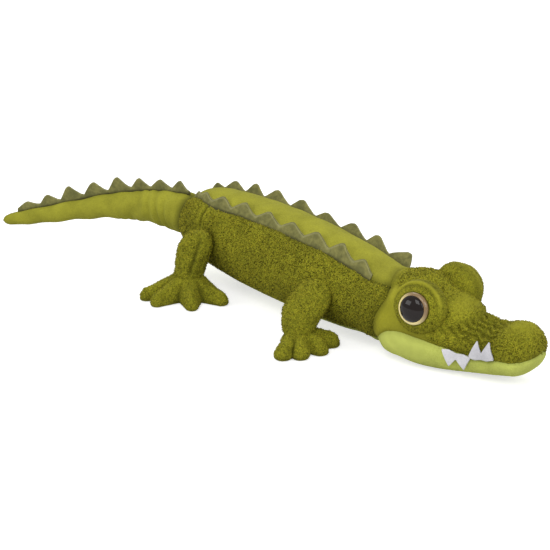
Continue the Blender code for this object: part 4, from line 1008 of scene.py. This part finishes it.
class CROCODILE_OT_eyes(bpy.types.Operator):
    """Makes the stuffed eye mounds and the moulded eyes"""

    bl_idname = "crocodile.eyes"
    bl_label = "Eyes"

    def execute(self, context):
        for side, suffix in ((1, "right"), (-1, "left")):
            self.mound(side, suffix)
            self.rim(side, suffix)
            self.dome(side, suffix)
        return {"FINISHED"}

    def mound(self, side, suffix):
        """A stuffed ellipsoid with a flat that seats the eye, a lip round the flat and a stitched ridge
        over it. It is cut off where it goes into the head."""
        near = side > 0
        share = 1.0 if near else FAR_MOUND_SHARE
        half = np.array(MOUND_SIZE) / 2 * (share, share, 1.0)
        rise = np.linspace(np.pi / 2, -0.35 * np.pi, 90)[:, None]
        turn = np.linspace(0.0, 2 * np.pi, 160, endpoint=False)[None, :]
        reach = half[0] * np.cos(rise)
        front = rise > 0
        socket = (1 - smooth_step(EYE_RADIUS - 0.0015, EYE_RADIUS + 0.0025, reach)) * front
        out = half[2] * np.sin(rise)
        out = out * (1 - socket) + np.minimum(out, half[2] - EYE_SEAT) * socket
        lip = dip(reach - EYE_RADIUS - 0.0022, 0.0016) * front
        seam = dip(reach - MOUND_SEAM, 0.0010) * front * (1.0 if near else 0.3)
        out = out + (0.0002 if near else 0.0014) * lip
        upper = smooth_step(-0.5, 0.4, np.sin(turn - 0.2))
        local = np.stack([reach * np.cos(turn), half[1] / half[0] * reach * np.sin(turn), out + 0 * turn], -1)
        points = eye_point(side, local)
        normals = -grid_normals(points)
        normals = normals * np.sign(np.sum(normals * (points - points.mean((0, 1)))))
        points = relief(points + normals * (0.0010 * seam * upper)[..., None], normals, 0.6)
        inner, outer = MOUND_CREASES
        # Painted shade: a dark ring where the mound meets the eye's rim, and dark lines inside and outside
        # the stitched ridge on its upper side
        beside = 0.45 * dip(reach - inner, 0.0006) * front + 0.40 * dip(reach - outer, 0.0006)
        crease = np.clip(0.75 * dip(reach - EYE_RADIUS, 0.0010) * front + upper * beside, 0, 0.85)
        # Painted highlight: the shorn colour over the upper side of the stitched ridge; the whole mound gets
        # a little of it, and a little more towards one side
        smooth = np.clip(0.05 + 0.95 * seam * upper - 0.15 * np.cos(turn), 0, 1)
        keep = (1 - 0.8 * smooth) * (reach > EYE_RADIUS + 0.0008) * np.clip(1 - crease, 0, 1)
        stuffed_pile("eye_mound", suffix, points, normals, crease, smooth, keep, 0.8, 41, (-0.6, 0.0, -0.5),
                     ("eye_mound_" + suffix,), "head")

    def rim(self, side, suffix):
        """The eye's rim: a rounded profile turned about the eye's outward line."""
        foot = EYE_FOOT
        profile = smooth_profile([
            (PUPIL_RADIUS - 0.0004, foot), (EYE_RADIUS, foot), (EYE_RADIUS, foot + 0.0016),
            (EYE_RADIUS - 0.0008, foot + 0.0030), (PUPIL_RADIUS, foot + 0.0036),
            (PUPIL_RADIUS - 0.0004, foot + 0.0020), (PUPIL_RADIUS - 0.0004, foot)], 48)
        grid, turn = turned_grid(side, profile, 128)
        # Painted light and shade: cream towards 225 degrees on the right eye and 315 on the left, where the
        # light comes through the rim, brown on the side away from it
        lit = 0.5 + 0.5 * np.cos(turn - np.radians(225 if side > 0 else 315))
        lit = smooth_step(0.15, 0.75, lit) * np.ones((len(profile), 1))
        ring = surface("eye_iris_" + suffix, grid, closed=True, layers={"lit": lit})
        dress(ring, MATERIALS["iris"], ("eye_rim_" + suffix,))
        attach(ring, "head")

    def dome(self, side, suffix):
        """The dark dome: a quarter ellipse turned about the eye's outward line."""
        swing = np.linspace(0.0, np.pi / 2, 40)[:-1]
        profile = np.stack([PUPIL_RADIUS * np.cos(swing), EYE_FOOT + 0.0026 + 0.0044 * np.sin(swing)], -1)
        profile = np.concatenate([[(PUPIL_RADIUS, EYE_FOOT)], profile])
        grid, _ = turned_grid(side, profile, 128)
        pupil = surface("eye_dome_" + suffix, grid, closed=True, caps=(0, -1))
        dress(pupil, MATERIALS["pupil"], ("eye_" + suffix, "eye_washer_" + suffix))
        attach(pupil, "head")


# Teeth

class CROCODILE_OT_teeth(bpy.types.Operator):
    """Makes the felt teeth along the jaw seam"""

    bl_idname = "crocodile.teeth"
    bl_label = "Teeth"

    def execute(self, context):
        for side, suffix in ((1, "right"), (-1, "left")):
            for row, teeth in TEETH.items():
                item = self.strip(side, teeth, row + "_felt_teeth_" + suffix)
                dress(item, MATERIALS["felt"], (row + "_teeth_" + suffix,))
                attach(item, "head")
        return {"FINISHED"}

    def strip(self, side, teeth, name):
        """A strip whose free edge is two triangles with rounded tips, laid on the head's skin. The upper
        one also climbs forward."""
        phase = np.linspace(-1.0, 1.0, 97)
        edge = np.interp(phase, (-1.0, teeth.first_tip, 0.0, 0.5, 1.0), teeth.levels)
        lift = 0.0012 + 0.0008 * phase if teeth.way > 0 else 0 * phase
        for _ in range(3):
            edge[1:-1] = (edge[:-2] + 2 * edge[1:-1] + edge[2:]) / 4
        rise = np.linspace(-0.12, 1.0, 16)[None, :] * edge[:, None]
        forward = (teeth.middle * HEAD_LENGTH + phase * teeth.half_length)[:, None]
        angle = side * angle_at(forward, jaw_level(forward) + teeth.way * rise + lift[:, None])
        curl = -0.0010 - 0.0006 * np.linspace(0, 1, 16)[None, :]
        points = head_to_world(head_local(forward, angle, curl))
        item = surface(name, points, flip=(side * teeth.way) > 0, layers={"crease": 0.0, "smooth": 0.0})
        solid = item.modifiers.new("felt", "SOLIDIFY")
        solid.thickness = 0.0013
        solid.offset = 0.6
        return item


# Tail

def tail_line(share):
    """The tail's centre line: back, to the right as share^1.35, and down as share^1.2 under a low arch."""
    fall = (TAIL_TIP_HEIGHT - TAIL[2]) * share ** 1.2
    fall = fall + TAIL_ARCH * np.sin(np.pi * share) + TAIL_ARCH_LEAD * np.sin(2 * np.pi * share)
    return TAIL + np.stack([-TAIL_LENGTH * share, -TAIL_SIDE_REACH * share ** 1.35, fall], -1)


def tail_frame(share):
    """Unit vectors along the tail, to the animal's right and upward."""
    step = 0.002
    along = unit(tail_line(share + step) - tail_line(np.maximum(share - step, 0.0)))
    right = unit(np.cross(np.array([0.0, 0.0, 1.0]), along))
    return right, np.cross(along, right)


def tail_radius(share):
    """Radius of the tail; its tip rounds off as a quarter ellipse."""
    radii = np.concatenate([[TAIL_THICK / 2], np.array(TAIL_GIRTH) * TAIL_THICK / 2])
    into_tip = np.clip((share - (1 - TAIL_TIP_DOME / TAIL_LENGTH)) / (TAIL_TIP_DOME / TAIL_LENGTH), 0.0, 1.0)
    return curve_through(TAIL_STATIONS, radii, share) * np.sqrt(1.0 - into_tip ** 2)


def tail_point(share, angle, pull=0.0):
    """A point of the tail's skin about its centre line; the angle is 0 at the top."""
    right, up = tail_frame(share)
    radius = (tail_radius(share) - pull)[..., None]
    angle = np.asarray(angle)[..., None]
    return tail_line(share) + radius * (right * np.sin(angle) + up * np.cos(angle))


def follow_tail(item):
    """Bakes the skin's placement into its mesh points."""
    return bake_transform(item)


class CROCODILE_OT_tail(bpy.types.Operator):
    """Makes the tail's velour tube"""

    bl_idname = "crocodile.tail"
    bl_label = "Tail"

    def execute(self, context):
        dome = TAIL_TIP_DOME / TAIL_LENGTH
        straight = np.linspace(RUMP_STEP / TAIL_LENGTH, 1.0 - dome, 210)
        turn = np.linspace(0.0, np.pi / 2, 14)[1:-1]
        share = np.concatenate([straight, straight[-1] + dome * np.sin(turn)])[:, None]
        angle = np.linspace(0.0, 2 * np.pi, 96, endpoint=False)[None, :]
        away = np.abs(wrap(angle))
        root = dip(share * TAIL_LENGTH - RUMP_STEP, 0.0045)
        seam = dip(away * tail_radius(share), 0.0018)
        aslant = share * TAIL_LENGTH + 0.0052 * np.sin(1.5 * away + 22 * share)
        folds = np.cos(2 * np.pi * aslant / TAIL_FOLD_PITCH)
        folds = folds * smooth_step(0.07, 0.13, share) * (1 - smooth_step(0.26, 0.50, share))
        folds = folds * (0.35 + 0.65 * dip(angle - np.radians(75) - 2 * share, 0.9))
        sags = np.cos(2 * np.pi * (share * TAIL_LENGTH + 0.006 * np.sin(angle + 1.0)) / TAIL_SAG_PITCH)
        sags = sags * smooth_step(0.30, 0.45, share) * (1 - smooth_step(0.85, 0.95, share))
        pull = 0.0018 * root + 0.0012 * seam + 0.00115 * folds + 0.00050 * sags
        points = tail_point(share + 0 * angle, angle + 0 * share, pull)
        points = relief(points, grid_normals(points), 0.3)
        # Painted shade: the root seam, the seam along the top under the spines and the fold grooves are
        # darkened in colour
        crease = np.clip(0.85 * root + 0.85 * seam + 0.20 * np.maximum(folds, 0) ** 2, 0, 0.85)
        layers = {"crease": crease, "smooth": 0.0}
        item = surface("tail_velour", points, closed=True, layers=layers, caps=(-1,))
        thicken(item, sizes().cloth)
        dress(item, MATERIALS["velour"], ("tail_cover", "tail_filling"))
        follow_tail(item)
        return {"FINISHED"}


# Spines

def spine_edge(row, height, count):
    """Height of a row's edge along it: each spine rises steeply, rounds over and falls slowly by its outline,
    and the last one has its own."""
    ends = np.concatenate([[0.0], np.cumsum(row.widths)]) / np.sum(row.widths)
    outlines = [row.outline] * (len(row.tall) - 1) + [row.last]
    places = []
    levels = []
    for start, end, size, outline in zip(ends, ends[1:], row.tall, outlines):
        for phase, level in outline:
            places.append(start + (end - start) * phase)
            levels.append(SPINE_BAND + (height * size - SPINE_BAND) * level)
    at = np.linspace(0.0, 1.0, count)
    edge = np.interp(at, places + [1.0], levels + [SPINE_BAND])
    for _ in range(2):
        edge[1:-1] = (edge[:-2] + 2 * edge[1:-1] + edge[2:]) / 4
    return at, edge


def spine_sheet(name, base, outward, across, edge, curl, columns=20):
    """A suede row of two layers sewn back to back: from the seam outward it thins, the free edge opens
    into two lips, and it curls and ripples a little."""
    level = np.linspace(-0.22, 1.0, columns)[None, :, None]
    free = np.clip(level, 0, 1)
    reach = np.maximum(edge, 0.001)[:, None, None]
    rise = np.where(level < 0, level * 0.008, level * reach)
    middle = base[:, None] + outward[:, None] * rise + across[:, None] * (curl * free ** 2 * reach)
    ripple = soft_noise(middle, 0.009, 21)[..., None] * 0.0009 * free
    grain = soft_noise(middle, 0.004, 23)[..., None]
    puff = 0.0013 * (1 - 0.5 * free ** 1.5) + 0.0005 * np.sin(np.pi * free) + 0.0002 * grain
    puff = np.where(level >= 0.999, puff * 0.55, puff)
    front = middle + across[:, None] * (ripple + puff)
    back = middle + across[:, None] * (ripple - puff)
    groove = middle[:, -1:] + across[:, None] * ripple[:, -1:] - outward[:, None] * 0.0006
    loop = np.concatenate([front, groove, back[:, ::-1]], 1)
    height = (level * reach)[..., 0]
    # Painted shade: darker at the foot, where the row is sewn on, and in the groove between its two layers
    crease = np.clip(0.85 * dip(height, 0.0015), 0, 0.85)
    # Painted highlight: paler within 1.1 mm of the free edge
    rim = np.clip(1 - (reach[..., 0] - height) / 0.0011, 0, 1) * (height > 0.0012) * 0.45
    crease = np.concatenate([crease, np.full_like(crease[:, :1], 0.55), crease[:, ::-1]], 1)
    rim = np.concatenate([rim, 0 * rim[:, :1], rim[:, ::-1]], 1)
    return surface(name, loop, closed=True, layers={"crease": crease, "edge": rim}, caps=(0, -1))


class CROCODILE_OT_spines(bpy.types.Operator):
    """Makes the suede spines of the back and the tail"""

    bl_idname = "crocodile.spines"
    bl_label = "Spines"

    def execute(self, context):
        for side, suffix in ((1, "right"), (-1, "left")):
            row = BACK_ROWS[suffix]
            at, edge = spine_edge(row, BACK_SPINE_HEIGHT, 460)
            place = BACK_SPINE_RUN[0] + (BACK_SPINE_RUN[1] - BACK_SPINE_RUN[0]) * at
            angle = back_angle(place) - side * back_roll(place)
            base = body_point(place, side * angle, sizes().seam_depth)
            lean = row.lean * angle
            outward = np.stack([0 * lean, -side * np.sin(lean), np.cos(lean)], -1)
            across = unit(body_point(place, side * (angle + 0.01)) - body_point(place, side * (angle - 0.01)))
            item = spine_sheet("back_suede_" + suffix, base, outward, across, edge, -0.15)
            dress(item, MATERIALS["suede"], ("back_spines_" + suffix,))
            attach(item, "body")
        at, edge = spine_edge(TAIL_ROW, TAIL_SPINE_HEIGHT, 420)
        share = TAIL_SPINE_RUN[1] + (TAIL_SPINE_RUN[0] - TAIL_SPINE_RUN[1]) * at
        right, up = tail_frame(share)
        base = tail_point(share, 0 * share, 0.0010)
        item = spine_sheet("tail_suede", base, up, right, edge, 0.10)
        dress(item, MATERIALS["suede"], ("tail_spines",))
        follow_tail(item)
        return {"FINISHED"}


# Legs

def leg_places(name):
    """The side of a leg, and its top and ankle as points on the floor plan."""
    leg = LEGS[name.split("_")[0]]
    joint = JOINTS[name + "_leg_swing"]
    side = 1 if name.endswith("right") else -1
    point = np.array(joint["pos_m"])
    normal = np.array(joint["axis"])
    normal = normal * (-side) * np.sign(normal[1])
    out = unit(np.array([normal[0], normal[1], 0.0]))
    top = point + out * leg.diameter / 2 * (1 - leg.seat_share)
    ankle = top + np.array([leg.ankle_step[0], -side * leg.ankle_step[1], 0.0])
    return side, top, ankle


def leg_grid(name):
    """Rings from the ankle up: the radius grows to the hip, and the top is a dome. Rings are level. A seam
    gathers the leg along its side, with shallower folds beside it, and a tuck parts it from the foot."""
    side, top, ankle = leg_places(name)
    kind = name.split("_")[0]
    leg = LEGS[kind]
    drop = leg.top_height - ANKLE_HEIGHT
    shoulder = 1 - leg.diameter / (2 * drop)
    dome = shoulder + (1 - shoulder) * np.sin(np.linspace(0, np.pi / 2, 34)[1:-1])
    level = np.concatenate([np.linspace(leg.into_foot, shoulder, 50), dome])[:, None]
    turn = np.linspace(0.0, 2 * np.pi, 120, endpoint=False)[None, :]
    radius = ANKLE_RADIUS + (leg.diameter / 2 - ANKLE_RADIUS) * smooth_step(-0.3, 1.0, level / shoulder)
    over = np.clip((level - shoulder) / (1 - shoulder), 0, 1)
    radius = radius * np.sqrt(1 - over ** 2)
    tuck = dip(level * drop + FEET[kind].seam_drop, 0.0024)
    off = wrap(turn - np.pi / 2 * -side)
    rising = smooth_step(0.0, 0.2, level) * (1 - smooth_step(0.80, 1.0, level))
    gather = dip((off - leg.gather_angle - 0.20 * level) * radius, 0.0017) * rising
    fore = dip((off - 0.15 + 0.3 * level) * radius, 0.0014)
    aft = dip((off - 1.55) * radius, 0.0016)
    side_folds = (fore + aft) * rising
    across = dip(level * drop - 0.0065 - 0.0016 * np.cos(off * 2), 0.0012) * (np.cos(off) > -0.3)
    pull = 0.0016 * tuck + leg.gather_depth * gather + 0.0005 * side_folds + 0.0004 * across
    radius = radius - pull
    sink = 0.0012 * over ** 2 if kind == "hind" else 0.0105 * smooth_step(0.10, 1.0, level)
    sink = np.array([0.0, side, 0.0]) * sink[..., None]
    centre = ankle + (top - ankle) * level[..., None] + sink
    points = np.stack([centre[..., 0] + radius * np.cos(turn), centre[..., 1] + radius * np.sin(turn),
                       ANKLE_HEIGHT + drop * level + 0 * turn], -1)
    # Painted shade: the tuck above the foot, the gather, the folds beside it and the fold across the leg are
    # darkened in colour
    crease = 0.7 * tuck + leg.gather_crease * gather + 0.2 * side_folds + 0.2 * across
    return points, np.clip(crease, 0, 0.8)


def foot_field(x, y, foot):
    """Signed distance to the union of the pad's circle and the toes' tapering capsules, negative inside, and
    how much nearer the nearest toe is than the next: 0 in the fold between two toes."""
    field = np.hypot(x, y) - foot.pad
    each = []
    for degrees, share in foot.toes:
        length = foot.reach * share
        cos, sin = np.cos(np.radians(degrees)), np.sin(np.radians(degrees))
        along = np.clip(x * cos + y * sin, 0.0, length)
        radius = foot.thick * (foot.root - foot.taper * along / length)
        toe = np.hypot(x - along * cos, y - along * sin) - radius
        each.append(toe)
        blend = np.clip(0.5 + 0.5 * (field - toe) / TOE_BLEND, 0, 1)
        field = field * (1 - blend) + toe * blend - TOE_BLEND * blend * (1 - blend)
    each = np.sort(np.stack(each), axis=0)
    return field, each[1] - each[0]


def foot_outline(foot):
    """Angles and distances round the ankle of the outline, where the field is zero, evenly spaced."""
    fine = np.linspace(-np.pi, np.pi, 2400, endpoint=False)
    far = np.linspace(0.008, 0.055, 400)
    field, _ = foot_field(far[:, None] * np.cos(fine), far[:, None] * np.sin(fine), foot)
    edge = far[np.argmax(field > 0, axis=0)]
    for _ in range(4):
        edge = (np.roll(edge, 1) + 2 * edge + np.roll(edge, -1)) / 4
    x, y = edge * np.cos(fine), edge * np.sin(fine)
    step = np.hypot(np.roll(x, -1) - x, np.roll(y, -1) - y)
    length = np.concatenate([[0], np.cumsum(step)])
    at = np.interp(np.linspace(0, length[-1], 280, endpoint=False), length, np.append(fine, np.pi))
    return at, np.interp(at, np.append(fine, np.pi), np.append(edge, edge[0]))


def foot_grid(name):
    """A foot as rings round its ankle: the top bulges as a half round over each toe, dips between two toes
    and rises to the ankle, and the sole is flat."""
    side, _, ankle = leg_places(name)
    foot = FEET[name.split("_")[0]]
    at, edge = foot_outline(foot)
    rounding = 0.80 + 0.20 * np.sin(np.linspace(0, np.pi / 2, 14)[1:])
    over = np.concatenate([np.linspace(0.0, 0.80, 22), rounding])[:, None]
    x = edge * over * np.cos(at)
    y = edge * over * np.sin(at)
    field, gap = foot_field(x, y, foot)
    field = np.minimum(field, 0.0)
    round_off = np.sqrt(1 - np.clip(1 + field / foot.thick, 0, 1) ** 2)
    away = np.hypot(x, y)
    between = dip(gap, 0.0022) * smooth_step(0.014, 0.024, away)
    hill = (foot.height - foot.toe_height) * np.clip(1.25 - away / 0.026, 0, 1) ** 1.3
    height = SOLE_RIM + (foot.toe_height - SOLE_RIM - 0.0030 * between) * round_off + hill * round_off
    under = SOLE_RIM * (1 - np.sqrt(1 - np.clip(1 + field / 0.0030, 0, 1) ** 2))
    top = np.stack([x, y, height], -1)
    sole = np.stack([x, y, under], -1)
    grid = np.concatenate([top, sole[::-1][1:]])
    cos, sin = np.cos(-foot.turn_out * np.pi / 180), np.sin(-foot.turn_out * np.pi / 180)
    turned = np.stack([ankle[0] + cos * grid[..., 0] - sin * grid[..., 1],
                       ankle[1] + side * (sin * grid[..., 0] + cos * grid[..., 1]), grid[..., 2]], -1)
    # Painted shade: darker between the toes and round the edge where the top turns down to the sole
    crease = np.clip(0.55 * between + 0.40 * dip(round_off, 0.16), 0, 0.7)
    return turned, np.concatenate([crease, crease[::-1][1:]])


class CROCODILE_OT_legs(bpy.types.Operator):
    """Makes the stuffed legs and their feet"""

    bl_idname = "crocodile.legs"
    bl_label = "Legs and feet"

    def execute(self, context):
        for name in ("hind_right", "hind_left", "front_right", "front_left"):
            self.leg(name)
            self.foot(name)
        return {"FINISHED"}

    def leg(self, name):
        """A leg; its pile is full at the hip and a little thinner towards the ankle."""
        points, crease = leg_grid(name)
        normals = -grid_normals(points)
        points = relief(points, normals, 1.0)
        keep = 0.85 + 0.15 * smooth_step(0.018, 0.036, points[..., 2])
        keep = keep * np.clip(1 - 1.3 * crease, 0, 1)
        stuffed_pile("leg", name, points, normals, crease, 0.0, keep, 1.0, 43, (0.0, 0.0, -1.0),
                     ("leg_" + name, "leg_filling_" + name), "leg_" + name)

    def foot(self, name):
        """A foot; its relief and its pile fade out at the flat sole."""
        points, crease = foot_grid(name)
        normals = grid_normals(points) * (1 if name.endswith("right") else -1)
        raised = relief(points, normals, 1.0)
        lift = np.clip(points[..., 2:] / 0.002, 0, 1)
        points = points + (raised - points) * lift
        points[..., 2] = np.maximum(points[..., 2], 0.0)
        keep = 0.80 * np.clip(1 - crease, 0, 1) * smooth_step(0.0008, 0.0020, points[..., 2])
        stuffed_pile("foot", name, points, normals, crease, 0.0, keep, 1.0, 47, (0.0, 0.0, -1.0),
                     ("foot_" + name,), "leg_" + name)


# Stage

class CROCODILE_OT_stage(bpy.types.Operator):
    """Makes the floor, the lamps and the camera"""

    bl_idname = "crocodile.stage"
    bl_label = "Stage"

    def execute(self, context):
        scene = context.scene
        scene.view_settings.view_transform = "Standard"
        self.floor()
        self.world(scene)
        self.lamps()
        self.camera(scene)
        return {"FINISHED"}

    def floor(self):
        """A pale floor that comes out white, with the toy's shadow on it."""
        far = STAGE_REACH
        corners = np.array([[[-far, -far, 0], [-far, far, 0]], [[far, -far, 0], [far, far, 0]]])
        floor = surface("floor", corners, flip=True)
        material, tree, shader = new_material("white_sweep")
        shader.inputs["Base Color"].default_value = (FLOOR_TONE, FLOOR_TONE, FLOOR_TONE, 1.0)
        shader.inputs["Roughness"].default_value = 0.9
        seen = 0.0
        for ray in ("Is Camera Ray", "Is Glossy Ray", "Is Transmission Ray"):
            path = add_node(tree, "ShaderNodeLightPath", output=ray)
            seen = add_node(tree, "ShaderNodeMath", {0: seen, 1: path}, operation="MAXIMUM")
        strength = add_node(tree, "ShaderNodeMath", {0: seen, 1: FLOOR_GLOW}, operation="MULTIPLY")
        glow = add_node(tree, "ShaderNodeEmission", {"Strength": strength})
        both = add_node(tree, "ShaderNodeAddShader", {0: shader.outputs[0], 1: glow})
        tree.links.new(both, tree.nodes["Material Output"].inputs["Surface"])
        floor.data.materials.append(material)

    def world(self, scene):
        """Light from all round, seen by the camera as white."""
        world = bpy.data.worlds.new("white_studio")
        scene.world = world
        world.use_nodes = True
        tree = world.node_tree
        path = add_node(tree, "ShaderNodeLightPath", output="Is Camera Ray")
        strength = add_node(tree, "ShaderNodeMapRange", {"Value": path, "To Min": WORLD_LIGHT, "To Max": 1.0})
        tree.nodes["Background"].inputs["Color"].default_value = (1, 1, 1, 1)
        tree.links.new(strength, tree.nodes["Background"].inputs["Strength"])

    def lamps(self):
        """Soft boxes: two high in front, a small low one at the toy's right and one from behind."""
        for name, place, size, power in LAMPS:
            lamp = bpy.data.lights.new(name, "AREA")
            lamp.shape = "RECTANGLE"
            lamp.size, lamp.size_y = size
            lamp.energy = power
            item = bpy.data.objects.new(name, lamp)
            bpy.context.scene.collection.objects.link(item)
            item.location = place
            item.rotation_euler = (Vector(LAMP_AIM) - Vector(place)).to_track_quat("-Z", "Y").to_euler()

    def camera(self, scene):
        """The camera looks along its own fixed direction; the aim point lands on its pixel of the photograph
        because the camera is moved sideways and up by that pixel's offset."""
        flat = np.cos(CAMERA_HEIGHT_ANGLE)
        back = np.array([np.sin(CAMERA_AZIMUTH) * flat, -np.cos(CAMERA_AZIMUTH) * flat,
                         np.sin(CAMERA_HEIGHT_ANGLE)])
        right = np.array([np.cos(CAMERA_AZIMUTH), np.sin(CAMERA_AZIMUTH), 0.0])
        up = np.cross(back, right)
        aim = np.array([(NECK[0] + TAIL[0]) / 2, 0.0, CAMERA_AIM_HEIGHT])
        shift = (np.array(TARGET_PIXEL) - PHOTO_SIZE / 2) / FOCAL_PIXELS * CAMERA_DISTANCE
        place = aim + back * CAMERA_DISTANCE - right * shift[0] + up * shift[1]
        data = bpy.data.cameras.new("photo_camera")
        data.sensor_width = SENSOR
        data.lens = FOCAL_PIXELS * SENSOR / PHOTO_SIZE
        camera = bpy.data.objects.new("photo_camera", data)
        scene.collection.objects.link(camera)
        turn = np.stack([right, up, back], 1)
        camera.matrix_world = Matrix.Translation(Vector(place)) @ Matrix(turn.tolist()).to_4x4()
        scene.camera = camera


class CROCODILE_PT_panel(bpy.types.Panel):
    """Lists the crocodile's pieces"""

    bl_label = "Crocodile"
    bl_idname = "CROCODILE_PT_panel"
    bl_space_type = "VIEW_3D"
    bl_region_type = "UI"
    bl_category = "Crocodile"

    def draw(self, context):
        for group in (context.scene.crocodile_sizes, context.scene.crocodile_colours):
            for name in group.bl_rna.properties.keys():
                if name not in ("rna_type", "name"):
                    self.layout.prop(group, name)
        for piece in PIECES:
            self.layout.operator(piece.bl_idname)


PIECES = (CROCODILE_OT_stage, CROCODILE_OT_body, CROCODILE_OT_head, CROCODILE_OT_eyes, CROCODILE_OT_teeth,
          CROCODILE_OT_tail, CROCODILE_OT_spines, CROCODILE_OT_legs)
CLASSES = (CrocodileSizes, CrocodileColours, *PIECES, CROCODILE_PT_panel)


def register():
    for item in CLASSES:
        bpy.utils.register_class(item)
    bpy.types.Scene.crocodile_sizes = PointerProperty(type=CrocodileSizes)
    bpy.types.Scene.crocodile_colours = PointerProperty(type=CrocodileColours)


def unregister():
    del bpy.types.Scene.crocodile_colours
    del bpy.types.Scene.crocodile_sizes
    for item in reversed(CLASSES):
        bpy.utils.unregister_class(item)


def main():
    """Makes the stage and every piece."""
    register()
    make_materials()
    bpy.ops.crocodile.stage()
    bpy.ops.crocodile.body()
    bpy.ops.crocodile.head()
    bpy.ops.crocodile.eyes()
    bpy.ops.crocodile.teeth()
    bpy.ops.crocodile.tail()
    bpy.ops.crocodile.spines()
    bpy.ops.crocodile.legs()


if __name__ == "__main__":
    main()
